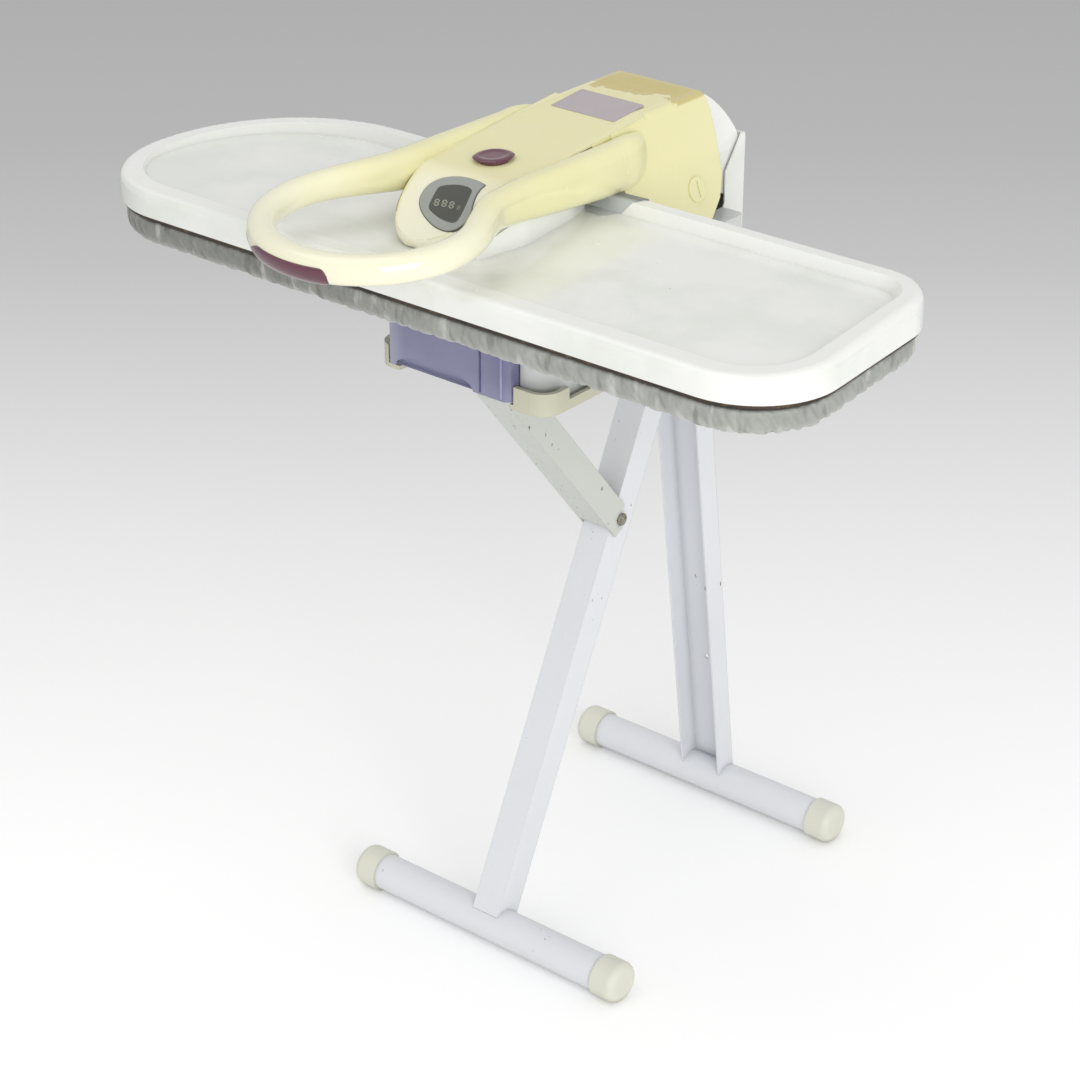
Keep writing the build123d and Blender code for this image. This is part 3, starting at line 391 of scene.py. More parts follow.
def ridge_purple(name, color, cloud):
    s = Surface(name, color, 0.2, IOR=1.49)
    return s.tint(s.span(s.noise(40, 3), 0.4, 0.7), cloud).done()


def cap_white():
    return moulded("cap_white", srgb(226, 226, 216), 0.34, 0.04).done()


def rubber():
    s = Surface("rubber", srgb(52, 52, 52), 0.7).rounded(0.0004)
    s.tint(s.span(s.noise(90, 4), 0.4, 0.7), srgb(70, 70, 68))
    return s.relief(s.noise(700, 3), 0.3, 0.0003).done()


def pump_black():
    return moulded("pump_black", srgb(44, 45, 46), 0.45, 0.1, grain=0.15).done()


def cradle_cream():
    return moulded("cradle_cream", srgb(206, 205, 182), 0.36, 0.04, grain=0.06, corner_shade=0.35).done()


def leg_white(name="leg_white", color=srgb(228, 230, 234), rust=0.5, worn=0.60):
    """Powder coat with an orange-peel skin, chips along it and painted shade by the welds."""
    s = Surface(name, color, 0.34, Coat_Weight=0.12, Coat_Roughness=0.2).rounded(0.0010)
    s.tint(s.span(s.noise(7, 4), 0.4, 0.7, 0, 0.7), lighter(color, 0.965))
    # Painted shade: the colour darkens where ambient occlusion finds corners and joints.
    s.tint(s.times(s.hollow(0.01), 0.35), lighter(color, 0.6))
    patch = s.span(s.noise(11, 3, 0.6), worn, worn + 0.06)
    chip = s.span(s.noise(230, 3, 0.62, (1.6, 0.8, 0.45)), 0.665, 0.69)
    s.tint(s.times(patch, chip), lighter(srgb(92, 88, 84), rust + 0.5))
    scuff = s.span(s.noise(60, 4, 0.7, (6, 2, 0.6)), 0.64, 0.72, 0, 0.35)
    s.tint(scuff, lighter(color, 0.82))
    s.polish(s.span(s.noise(50, 4), 0.4, 0.7), 0.5)
    return s.relief(s.noise(420, 2), 0.1, 0.0003).done()


def foot_plastic():
    s = moulded("foot_plastic", srgb(224, 224, 210), 0.4, 0.03, grain=0.08, corner_shade=0.4)
    s.tint(s.span(s.axis("Z"), 0.002, 0.010, 0.35, 0), srgb(176, 172, 156))
    return specks(s, 160, 0.03, srgb(150, 146, 130), 0.3).done()


def pin_steel():
    s = Surface("pin_steel", srgb(164, 162, 150), 0.4, Metallic=0.85).rounded(0.0004)
    s.tint(s.span(s.noise(260, 4), 0.4, 0.7), srgb(124, 116, 98))
    return s.done()


def pair(name):
    return [name + "left", name + "right"]


# Each material, with the CAD nodes that show it.
FINISH = {
    "cover_white": (cover_white(), ["plate_cover"]),
    "arm_cream": (arm_cream(), ["arm_cover"] + pair("hinge_cap_")),
    "console_cream": (console_cream(), []),
    "seam_brown": (seam_brown(), []),
    "burgundy": (burgundy(), []),
    "bezel_grey": (bezel_grey(), []),
    "display": (display_glass(), []),
    "plate_grey": (plate_grey(), ["nameplate"]),
    "board_green": (board_green(), ["control_board"]),
    "dark_edge": (dark_edge(), ["heat_shield"]),
    "sole": (sole_metal(), ["heated_plate"]),
    "heater": (heater_steel(), ["heating_element", "thermostat"]),
    "steel_board": (board_paint(), ["board_plate"]),
    "frame_steel": (
        zinc(),
        ["arm_frame", "base_frame", "cradle_bracket", "hinge_axle"] + pair("lift_spring_"),
    ),
    "base_grey": (base_grey(), ["base_housing", "steam_switch"]),
    "tank_purple": (tank_purple(), []),
    "cap_white": (cap_white(), ["tank_cap"] + pair("hinge_bush_") + pair("apex_bush_")),
    "valve_rubber": (rubber(), ["tank_valve", "cord_gland"]),
    "pump_black": (pump_black(), ["pump"]),
    "cradle_cream": (cradle_cream(), ["cradle"]),
    "leg_white": (leg_white(), ["front_leg", "rear_leg", "front_foot_bar", "rear_foot_bar"]),
    # A darker copy of the legs' powder coat: painted shade for the brace's downward-facing web.
    "brace_white_shaded": (
        leg_white("brace_white_shaded", srgb(204, 208, 200), 0.3, 0.47),
        ["brace_arm", "brace_bracket"],
    ),
    "foot_cap": (foot_plastic(), pair("front_cap_") + pair("rear_cap_")),
    "pin_steel": (pin_steel(), ["brace_pin", "leg_pin", "apex_pin"]),
}

for material, names in FINISH.values():
    for name in names:
        data = NODES[name].data
        if not data.materials:
            data.materials.append(material)
        for place in NODES[name].material_slots:
            place.material = material


def piece(name, shape, body, slot, material=None, smooth=True):
    """A mesh piece on a CAD body, from points in millimetres and faces."""
    points, faces = shape
    mesh = bpy.data.meshes.new(name)
    mesh.from_pydata([tuple(float(v) * MM for v in p) for p in points], [], faces)
    mesh.validate()
    mesh.polygons.foreach_set("use_smooth", [smooth] * len(mesh.polygons))
    mesh.materials.append(material or FINISH[slot][0])
    obj = bpy.data.objects.new(name, mesh)
    bpy.context.scene.collection.objects.link(obj)
    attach(obj, body)
    return obj


def skin(rings, capped=False):
    """Points and faces of a surface through rings that have the same number of points."""
    count = len(rings[0])
    faces = []
    for j in range(len(rings) - 1):
        for i in range(count):
            k = (i + 1) % count
            faces.append((j * count + i, (j + 1) * count + i, (j + 1) * count + k, j * count + k))
    if capped:
        last = (len(rings) - 1) * count
        faces.append(tuple(range(count)))
        faces.append(tuple(last + count - 1 - i for i in range(count)))
    return np.concatenate(rings), faces


def softened(obj):
    smooth = obj.modifiers.new("smooth", "SUBSURF")
    smooth.levels = smooth.render_levels = 1
    return obj


def welded(obj):
    obj.modifiers.new("weld", "WELD").merge_threshold = 0.00005
    return obj


def prism(outline_points, low, high):
    """Upright prism on a plan outline; low and high are one height or one for each point."""
    plan = np.array(outline_points, float)
    ends = [np.broadcast_to(np.array(z, float), (len(plan),)) for z in (low, high)]
    return skin([np.column_stack([plan, z]) for z in ends], capped=True)


def round_corners(points, radius, steps=6):
    """A closed plan outline with its corners rounded."""
    result = []
    points = [np.array(p, float) for p in points]
    for i, here in enumerate(points):
        before, after = points[i - 1] - here, points[(i + 1) % len(points)] - here
        start = here + before / np.linalg.norm(before) * radius
        end = here + after / np.linalg.norm(after) * radius
        for k in range(steps + 1):
            t = k / steps
            result.append((1 - t) ** 2 * start + 2 * t * (1 - t) * here + t**2 * end)
    return result


# The board's outline: corner x, y and radius, in order round it.
CORNERS = [(-362.0, -221.5, 88.0), (367.3, -221.5, 72.0), (349.6, 20.0, 50.0), (-362.0, 20.0, 152.5)]


def corner_arc(i):
    """Of a corner of the board: centre, radius, where its arc starts, first angle and turn."""
    here, radius = np.array(CORNERS[i][:2]), CORNERS[i][2]
    back = np.array(CORNERS[i - 1][:2]) - here
    ahead = np.array(CORNERS[(i + 1) % len(CORNERS)][:2]) - here
    back /= np.linalg.norm(back)
    ahead /= np.linalg.norm(ahead)
    half = np.arccos(np.clip(back @ ahead, -1, 1)) / 2
    middle = (back + ahead) / np.linalg.norm(back + ahead)
    centre = here + middle * radius / np.sin(half)
    meet = here + back * radius / np.tan(half)
    start = meet - centre
    end = here + ahead * radius / np.tan(half) - centre
    first = np.arctan2(start[1], start[0])
    turn = (np.arctan2(end[1], end[0]) - first) % (2 * pi)
    return centre, radius, meet, first, turn


def outline(step):
    """Points round the board's edge, their outward normals, their distance along it and its length."""
    arcs = [corner_arc(i) for i in range(len(CORNERS))]
    points, normals = [], []
    for i, (centre, radius, _, first, turn) in enumerate(arcs):
        count = max(6, int(turn * radius / step))
        for k in range(count + 1):
            angle = first + turn * k / count
            normal = np.array([np.cos(angle), np.sin(angle)])
            points.append(centre + radius * normal)
            normals.append(normal)
        start, side = points[-1], normals[-1]
        meet = arcs[(i + 1) % len(arcs)][2]
        steps = max(1, int(np.linalg.norm(meet - start) / step))
        for k in range(1, steps):
            points.append(start + (meet - start) * k / steps)
            normals.append(side)
    points, normals = np.array(points), np.array(normals)
    gaps = np.linalg.norm(np.roll(points, -1, axis=0) - points, axis=1)
    along = np.concatenate([[0], np.cumsum(gaps)[:-1]])
    return points, normals, along, gaps.sum()


FLAT_INSET = 34.0


def level_rings(base, normal, shares, height, rise=0.0):
    """Rings on a flat face, each a share of the way from its edge to the board's middle line."""
    edge = base - normal * FLAT_INSET
    middle = np.column_stack([np.clip(base[:, 0], -228, 265), np.full(len(base), -101.0)])
    rings = []
    for share in shares:
        flat = edge * (1 - share) + middle * share
        rings.append(np.column_stack([flat, np.full(len(base), height + rise * share)]))
    return rings


def gathers(along, length, down, seed):
    """How far the cloth is drawn in by its puckers, at each place along the edge and down the side."""
    random = np.random.default_rng(seed)
    inward = np.zeros((len(along), len(down)))
    at = 0.0
    while at < length:
        width = random.uniform(1.1, 2.7)
        depth = random.uniform(1.0, 3.4)
        skew = random.uniform(9, 19)
        reach = random.uniform(0.0, 0.28)
        bend = random.uniform(-3, 3)
        for j, v in enumerate(down):
            if v < reach:
                continue
            centre = at + skew * v + bend * np.sin(3 * v)
            off = (along - centre + length / 2) % length - length / 2
            strength = min(1.0, (v - reach) / 0.22)
            inward[:, j] += depth * strength * np.exp(-((off / (width * (0.7 + 0.5 * v))) ** 2))
        at += random.uniform(4.2, 10)
    slow = np.zeros(len(along))
    for wave in range(3, 14):
        slow += random.uniform(0.0, 0.22) * np.sin(2 * pi * wave * along / length + random.uniform(0, 6.3))
    deepest = 3.1
    return deepest * np.tanh(inward / deepest) - slow[:, None] * np.minimum(down, 1.0)[None, :]


def cloth_cover():
    """Gathered fabric cover: flat on top, puckered round its side, with a rolled hem under the board."""
    base, normal, along, length = outline(1.25)
    top = 713.2
    profile = [(FLAT_INSET, top), (22.0, 713.25), (14.0, top), (9.5, 712.6), (7.0, 711.2)]
    profile += [(5.6, 709.0), (5.0, 706.4), (4.8, 703.6), (4.8, 700.8), (5.0, 698.0), (5.6, 695.4)]
    profile += [(6.8, 693.0), (8.6, 691.0), (11.0, 689.6), (14.2, 688.8), (18.0, 688.6), (22.0, 688.5)]
    profile += [(26.0, 688.6), (29.0, 689.0), (30.4, 690.0), (30.2, 691.2), (28.8, 691.6), (27.4, 691.0)]
    underside, hem, fullest = range(12, 19), 16, 1.25
    down = [(711.5 - z) / 20.0 if i < hem else fullest for i, (_, z) in enumerate(profile)]
    inward = gathers(along, length, np.clip(down, 0.0, fullest), 11)
    rings = level_rings(base, normal, (1.0, 0.5), top, 0.25)
    for j, (inset, z) in enumerate(profile):
        pull = inward[:, j]
        side = min(1.0, max(0.0, (713.0 - z) / 3.0))
        lift = (0.5 if j in underside else 0.0) * pull
        flat = base - normal * (inset + pull * side)[:, None]
        rings.append(np.column_stack([flat, z + lift]))
    cover = softened(welded(piece("fabric_cover", skin(rings), "base", "fabric_silver", silver_fabric())))
    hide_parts("pad_cover")
    return cover


def felt_layer():
    """Felt and foam on the board, inside the cover."""
    base, normal, along, _ = outline(6.0)
    top, bottom = 711.6, 694.0
    profile = [(FLAT_INSET, top), (15.0, 711.5), (11.2, 710.2), (9.8, 707.0), (9.6, 702.0)]
    profile += [(10.2, 697.5), (11.6, 694.6), (14.0, 694.1), (FLAT_INSET, bottom)]
    rings = level_rings(base, normal, (1.0, 0.6, 0.3), top)
    ripple = 0.25 * np.sin(along / 9.0) + 0.2 * np.sin(along / 23.0)
    for inset, z in profile:
        rings.append(np.column_stack([base - normal * (inset + ripple)[:, None], np.full(len(base), z)]))
    rings += level_rings(base, normal, (0.3, 0.6, 1.0), bottom)
    layer = welded(piece("felt_layer", skin(rings), "base", "foam", felt()))
    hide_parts("foam_pad")
    return layer


FRONT_TILT = atan2(FRONT_TOP_H - FRONT_FOOT_H, FRONT_TOP_Y - FRONT_FOOT_Y)


def front_point(x, y, z):
    """A point on the slanted front face, from the middle of the display."""
    down, right = 33.0, 4.0
    cy = FRONT_TOP_Y - down * cos(FRONT_TILT)
    cz = PLATE_Z + FRONT_TOP_H - down * sin(FRONT_TILT)
    return (
        ARM_X + right + x,
        cy + y * cos(FRONT_TILT) - z * sin(FRONT_TILT),
        cz + y * sin(FRONT_TILT) + z * cos(FRONT_TILT),
    )


def closed_curve(points, steps=5):
    """A smooth closed outline through points."""
    points = np.array(points, float)
    before, after, beyond = (np.roll(points, shift, axis=0) for shift in (1, -1, -2))
    square = 2 * before - 5 * points + 4 * after - beyond
    cube = 3 * points - before - 3 * after + beyond
    rows = []
    for k in range(steps):
        t = k / steps
        rows.append(0.5 * (2 * points + (after - before) * t + square * t**2 + cube * t**3))
    return np.stack(rows, axis=1).reshape(-1, 2)


def inset_outline(points, inset):
    """A closed outline moved inwards by a distance, or outwards where it is negative."""
    along = np.roll(points, -1, axis=0) - np.roll(points, 1, axis=0)
    along /= np.linalg.norm(along, axis=1)[:, None]
    inward = np.column_stack([-along[:, 1], along[:, 0]])
    x, y = points.T
    if np.sum(x * np.roll(y, -1) - np.roll(x, -1) * y) < 0:
        inward = -inward
    return points + inset * inward


def front_slab(name, points, layers, slot, material=None):
    """A slab on the slanted face: each layer is an inset of the outline and a height."""
    rings = []
    for inset, z in layers:
        rings.append(np.array([front_point(x, y, z) for x, y in inset_outline(points, inset)]))
    return piece(name, skin(rings, capped=True), "head", slot, material)


def dark_line(name, points, inner, outer, low, high, material):
    """A fine line round an outline: the insets of its two edges, and its two heights."""
    layers = [(inner, low), (outer, low), (outer, high), (inner, high)]
    front_slab(name, points, layers, "bezel_grey", material)


BEZEL = [(19.6, 26.9), (20.4, 26.3), (20.2, 25.2), (19.3, 20.7), (20.6, 13.2), (24.3, 4.0)]
BEZEL += [(28.6, -4.8), (30.6, -15.0), (28.6, -22.5), (24.0, -26.9), (17.6, -28.3), (6.7, -26.5)]
BEZEL += [(-6.0, -21.0), (-15.8, -14.7), (-22.8, -7.5), (-26.6, 1.0), (-27.3, 10.2), (-23.6, 18.3)]
BEZEL += [(-16.6, 23.9), (-7.0, 27.6), (4.0, 28.6), (12.0, 28.1), (18.0, 27.1)]
WINDOW = [(-15.8, 10.1), (-12.6, 13.8), (-5.8, 17.1), (2.6, 18.9), (9.8, 18.6), (14.0, 16.2)]
WINDOW += [(16.2, 10.5), (20.5, -2.5), (23.4, -14.1), (22.4, -18.2), (17.8, -19.3), (7.4, -18.2)]
WINDOW += [(-3.1, -14.8), (-8.3, -12.2), (-11.0, -8.2), (-13.4, -1.0)]


def display():
    """Tear-drop bezel with a fine dark line round it, and the rounded window in it."""
    bezel, window, grey = closed_curve(BEZEL), closed_curve(WINDOW), line_grey()
    dark_line("bezel_line", bezel, 0.5, -0.55, -1.0, 0.75, grey)
    layers = [(0.0, -1.0), (0.0, 1.1), (0.25, 1.5), (0.7, 1.7), (1.1, 1.75)]
    ring = front_slab("bezel_ring", bezel, layers, "bezel_grey")
    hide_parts("display_bezel")
    dark_line("window_line", window, 0.6, -0.4, 1.0, 1.82, grey)
    layers = [(0.0, 0.8), (0.0, 1.86), (0.3, 2.0), (1.2, 2.06)]
    glass = front_slab("window_glass", window, layers, "display")
    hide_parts("display_window")


def display_digits():
    """Three seven-segment eights with all segments shown, and a small dim one."""
    points, faces = [], []
    across, up = np.array([0.985, 0.17]), np.array([-0.40, 0.90])

    def bar(centre, cx, cy, length, thick, upright):
        half, t = length / 2 - 0.22, thick / 2
        shape = [(-half, 0), (-half + t, t), (half - t, t), (half, 0), (half - t, -t), (-half + t, -t)]
        start = len(points)
        for z in (2.08, 2.22):
            for u, v in shape:
                a, b = (cx - v, cy + u) if upright else (cx + u, cy + v)
                x, y = centre + a * across + b * up
                points.append(front_point(x, y, z))
        faces.append(tuple(start + 6 + k for k in range(6)))
        faces.append(tuple(start + 5 - k for k in range(6)))
        for k in range(6):
            n = (k + 1) % 6
            faces.append((start + k, start + n, start + 6 + n, start + 6 + k))

    # Width, height and segment thickness of the two sizes of digit.
    large, small = (3.5, 6.8, 1.3), (2.2, 4.2, 0.5)
    places = [((-6.2, -4.6), large), ((0.9, -3.4), large), ((8.0, -2.9), large), ((15.8, -3.4), small)]
    for centre, (wide, tall, thick) in places:
        centre = np.array(centre)
        for level in (-1, 0, 1):
            bar(centre, 0, level * tall / 2, wide, thick, False)
        for side in (-1, 1):
            for level in (-1, 1):
                bar(centre, side * wide / 2, level * tall / 4, tall / 2, thick, True)
    return piece("display_digits", (points, faces), "head", "display", digit_grey_glow(), smooth=False)


LOOP_HALF, LOOP_DEPTH = 89.0, 82.0
LOOP_FRONT_Y, LOOP_FRONT_Z, LOOP_RISE = -299.0, 765.5, 0.0734
# Width, height and squareness of the loop's section.
LOOP_SECTION = (24.0, 24.5, 2.15)
# Stations of the right rail: x from the arm's middle, y, z, width, height, squareness of the section.
RAIL = [
    (86.0, -196.0, 773.4, 24.0, 24.5, 2.2),
    (76.0, -173.0, 775.4, 24.0, 26.5, 2.3),
    (66.0, -151.0, 776.0, 24.5, 29.0, 2.5),
    (60.5, -122.0, 774.0, 25.5, 32.5, 2.6),
    (59.5, -60.0, 770.3, 27.5, 38.5, 2.6),
    (58.5, 16.0, 766.6, 28.0, 44.5, 2.6),
    (58.0, 36.0, 766.6, 26.0, 45.0, 2.5),
    (54.5, 50.0, 765.6, 20.0, 41.0, 2.3),
    (48.0, 58.0, 764.0, 11.0, 30.0, 2.2),
]


def flow(stations, step):
    """A smooth curve through stations, all their columns together, at even steps."""
    rows = np.array(stations)
    gaps = np.linalg.norm(np.diff(rows[:, :3], axis=0), axis=1)
    at = np.concatenate([[0], np.cumsum(gaps)])
    slope = np.gradient(rows, at, axis=0)
    places = np.linspace(0, at[-1], int(at[-1] / step) + 1)
    spans = np.clip(np.searchsorted(at, places, side="right") - 1, 0, len(at) - 2)
    width = (at[spans + 1] - at[spans])[:, None]
    t = ((places - at[spans]) / width[:, 0])[:, None]
    leave, arrive = slope[spans] * width, slope[spans + 1] * width
    start = (2 * t**3 - 3 * t**2 + 1) * rows[spans] + (t**3 - 2 * t**2 + t) * leave
    return start + (3 * t**2 - 2 * t**3) * rows[spans + 1] + (t**3 - t**2) * arrive


def grip_line():
    """Stations of the whole grip, from the left rail round the loop to the right rail."""
    loop = []
    for turn in range(-90, 91, 6):
        y = LOOP_DEPTH * (1 - cos(radians(turn)))
        place = (LOOP_HALF * sin(radians(turn)), LOOP_FRONT_Y + y, LOOP_FRONT_Z + LOOP_RISE * y)
        loop.append(place + LOOP_SECTION)
    left = [(-x, *rest) for x, *rest in reversed(RAIL)]
    return flow(left + loop + RAIL, 4.0)


def section_frames(line):
    """Each station's place, with the directions across it, towards the inside, and up."""
    place = line[:, :3] + np.array([ARM_X, 0, 0])
    path = np.gradient(place, axis=0)
    path /= np.linalg.norm(path, axis=1)[:, None]
    across = np.cross(np.array([0, 0, 1.0]), path)
    across /= np.linalg.norm(across, axis=1)[:, None]
    return place, across, np.cross(path, across)


def section(angles, wide, tall, power, grow=0.0):
    """Points of a rounded section: across and up, at angles from its inner side."""
    c, s = np.cos(angles), np.sin(angles)
    across = (wide / 2 + grow) * np.sign(c) * np.abs(c) ** (2 / power)
    return across, (tall / 2 + grow) * np.sign(s) * np.abs(s) ** (2 / power)


def handle():
    """Pressing handle: an oval loop that grows into two tall rails, and its press bar."""
    line = grip_line()
    place, across, up = section_frames(line)
    angles = np.linspace(0, 2 * pi, 28, endpoint=False)
    rings = []
    for p, a, u, row in zip(place, across, up, line):
        da, du = section(angles, *row[3:6])
        rings.append(p + da[:, None] * a + du[:, None] * u)
    grip = softened(piece("grip", skin(rings, capped=True), "head", "arm_cream"))
    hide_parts("handle")
    # The bar covers these degrees of turn round the loop and, in its section, these of the lower front.
    bar_left, bar_right = -35, 23
    outer, middle = np.radians(np.linspace(164, 256, 11)), np.radians(210)
    proud, sunk = 1.1, -2.5
    turn = np.degrees(np.arctan2(line[:, 0] / LOOP_HALF, 1 - (line[:, 1] - LOOP_FRONT_Y) / LOOP_DEPTH))
    held = [i for i in range(len(line)) if bar_left < turn[i] < bar_right and line[i, 1] < -225]
    rings = []
    for n, i in enumerate(held):
        ease = min(1.0, 0.25 + n / 5, 0.45 + (len(held) - 1 - n) / 1.5)
        arc = middle + (outer - middle) * ease
        out_across, out_up = section(arc, *line[i, 3:6], grow=proud * ease)
        in_across, in_up = section(arc[::-1], *line[i, 3:6], grow=sunk)
        da, du = np.concatenate([out_across, in_across]), np.concatenate([out_up, in_up])
        rings.append(place[i] + da[:, None] * across[i] + du[:, None] * up[i])
    bar = softened(piece("press_bar", skin(rings, capped=True), "handle_bar", "burgundy"))
    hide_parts("handle_bar")


ROOF_SLOPE = (ROOF_H - FRONT_TOP_H) / (SLOPE_END_Y - FRONT_TOP_Y)
FRONT_SLOPE = (FRONT_TOP_H - FRONT_FOOT_H) / (FRONT_TOP_Y - FRONT_FOOT_Y)


def roof_height(y):
    """Height of the arm's top skin, eased over the edge between slope and slanted front."""
    past = y - FRONT_TOP_Y
    front = PLATE_Z + FRONT_TOP_H + past * FRONT_SLOPE
    slope = np.minimum(PLATE_Z + FRONT_TOP_H + past * ROOF_SLOPE, PLATE_Z + ROOF_H)
    ease, clear, crest = 1.7, 0.35, 0.95
    eased = -ease * np.logaddexp(-front / ease, -slope / ease)
    return eased + clear + crest * np.exp(-((past / 8.0) ** 2))


def console_half(y):
    """Half width of the top skin along the arm."""
    nose = 48.2 * np.sqrt(np.clip(1 - (np.minimum(y + 92.0, 0) / 79.6) ** 2, 0, 1))
    return nose - 7.4 * np.clip((y - 5.0) / 60.0, 0, 1) ** 1.4


def console_skin():
    """Top skin of the arm from the nose to the rear edge, with the brown line of its seam."""
    front_y, rear_y = -171.2, 148.8
    ys = front_y + (rear_y - front_y) * np.linspace(0, 1, 110) ** 1.35
    across = np.linspace(-1, 1, 33)
    across = np.sign(across) * np.abs(across) ** 0.6
    wide, last = len(across), len(ys) - 1
    points, seam, faces = [], [], []
    for y in ys:
        half = console_half(y)
        fall = 0.9 * np.abs(across) ** 26
        points += list(np.column_stack([ARM_X + half * across, np.full(wide, y), roof_height(y) - fall]))
        if -152 < y < 0:
            seam.append((half + 0.75, y, roof_height(y) - 1.6))
    for a in range(0, last * wide, wide):
        b = a + wide
        faces += [(a + i, a + i + 1, b + i + 1, b + i) for i in range(wide - 1)]
    right = [j * wide + wide - 1 for j in range(last, -1, -1)]
    front = list(range(wide - 2, -1, -1))
    left = [j * wide for j in range(1, last + 1)]
    rim = right + front + left
    edge = np.array([points[i] for i in rim])
    along = np.gradient(edge[:, :2], axis=0)
    along /= np.maximum(np.linalg.norm(along, axis=1), 1e-9)[:, None]
    outward = np.column_stack([-along[:, 1], along[:, 0]])
    middle = np.array([ARM_X, -60.0])
    if np.sum(outward * (edge[:, :2] - middle)) < 0:
        outward = -outward
    # The skirt: how far each row stands out from the rim, and how far under it.
    skirt = [(0.55, 0.7), (0.85, 1.9), (0.85, 3.6), (0.3, 5.6), (-0.9, 7.6), (-2.6, 9.2)]
    foot = PLATE_Z + 19.1
    above = rim
    for out, drop in skirt:
        below = []
        for k, place in enumerate(edge):
            flat = place[:2] + out * outward[k]
            below.append(len(points))
            points.append((*flat, max(place[2] - drop, foot)))
        for k in range(len(rim) - 1):
            faces.append((above[k], above[k + 1], below[k + 1], below[k]))
        above = below
    top = piece("console_skin", (points, faces), "head", "console_cream")
    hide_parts("console_top")
    line = [(-x, y, z) for x, y, z in reversed(seam)] + seam
    place, side, up = section_frames(np.array(line))
    angles = np.linspace(0, 2 * pi, 6, endpoint=False)
    round_x, round_y = 0.4 * np.cos(angles)[:, None], 0.4 * np.sin(angles)[:, None]
    half = len(seam)
    for name, run in (("seam_left", slice(0, half)), ("seam_right", slice(half, None))):
        rings = [p + round_x * a + round_y * u for p, a, u in zip(place[run], side[run], up[run])]
        piece(name, skin(rings, capped=True), "head", "console_cream", FINISH["seam_brown"][0])


def steam_button():
    """Almond-shaped button with a ridge round its dished middle, on a round stem."""
    tilt = np.arctan(ROOF_SLOPE)
    middle_y, lean, stem_r = -68.5, radians(43), 13.7
    angles = np.linspace(0, 2 * pi, 48, endpoint=False)
    long, wide = 17.6 * np.cos(angles), 14.2 * np.sin(angles) * np.abs(np.sin(angles)) ** 0.18
    x, y = long * cos(lean) - wide * sin(lean), long * sin(lean) + wide * cos(lean)
    cap = np.column_stack([x, y])
    stem = stem_r * np.column_stack([np.cos(angles + lean), np.sin(angles + lean)])
    # Each ring of the cap: its share of the full outline, and its height over the roof.
    dish = [(0.94, 3.0), (1.0, 3.3), (1.0, 3.7), (0.95, 4.2), (0.86, 4.7), (0.76, 4.9), (0.68, 4.8)]
    dish += [(0.60, 4.3), (0.40, 4.1), (0.15, 4.15)]
    layers = [(stem, -1.0), (stem, 1.5), (stem, 2.8)] + [(share * cap, height) for share, height in dish]
    roof = PLATE_Z + FRONT_TOP_H + (middle_y - FRONT_TOP_Y) * ROOF_SLOPE
    rings = []
    for plan, height in layers:
        down = plan[:, 1]
        ring_y = middle_y + down * np.cos(tilt) - height * np.sin(tilt)
        ring_z = roof + down * np.sin(tilt) + height * np.cos(tilt)
        rings.append(np.column_stack([ARM_X + plan[:, 0], ring_y, ring_z]))
    button = softened(piece("button_cap", skin(rings[::-1], capped=True), "steam_button", "burgundy"))
    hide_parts("steam_button")


def arm_foot():
    """Upright white foot under the console and the right rail."""
    right = [(20, -7), (29, -36), (37.4, -106), (28.5, -158)]
    left = [(-4, -152), (-46, -152), (-62, -132), (-70, -90), (-70, -7)]
    plan = round_corners(right + left, 6)
    bottom, under_rail, under_console = PLATE_Z + 18.8, 44, 30.5
    tops = [PLATE_Z + (under_rail if x > 21 and -142 < y < -4 else under_console) for x, y in plan]
    foot = piece("arm_foot", prism(plan, bottom, tops), "head", "cover_white", smooth=False)
    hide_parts("arm_base_cover")


def recess():
    """Painted shade: a slate sheet in the pocket between the arm, the foot and the rim of the plate, where
    the plate's floor lies in shade.
    """
    # Rows from front to rear: y, height over PLATE_Z, and x at the left and right end.
    rows = [(-19.0, 19.3, 28.0, 43.0), (-14.0, 19.3, 24.0, 46.5), (-9.0, 19.3, 22.0, 49.0)]
    rows += [(-3.6, 19.3, 22.0, 52.5), (-0.4, 24.6, 22.0, 56.0), (2.7, 29.5, 22.0, 60.5)]
    rows += [(7.0, 29.8, 22.0, 64.0), (12.0, 29.7, 24.0, 67.0)]
    share = np.arange(7) / 6
    above, under, slant = 0.25, -1.2, 3.5
    rings = []
    for y, z, left, right in rows:
        x, back = left + (right - left) * share, y + slant * share * (y > 5)
        top, bottom = (np.column_stack([x, back, np.full(7, PLATE_Z + z + lift)]) for lift in (above, under))
        rings.append(np.concatenate([top[::-1], bottom]))
    shade_sheet = piece("shade_pocket", skin(rings, capped=True), "head", "plate_grey", pocket_shade(), False)
    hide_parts("recess_plate")


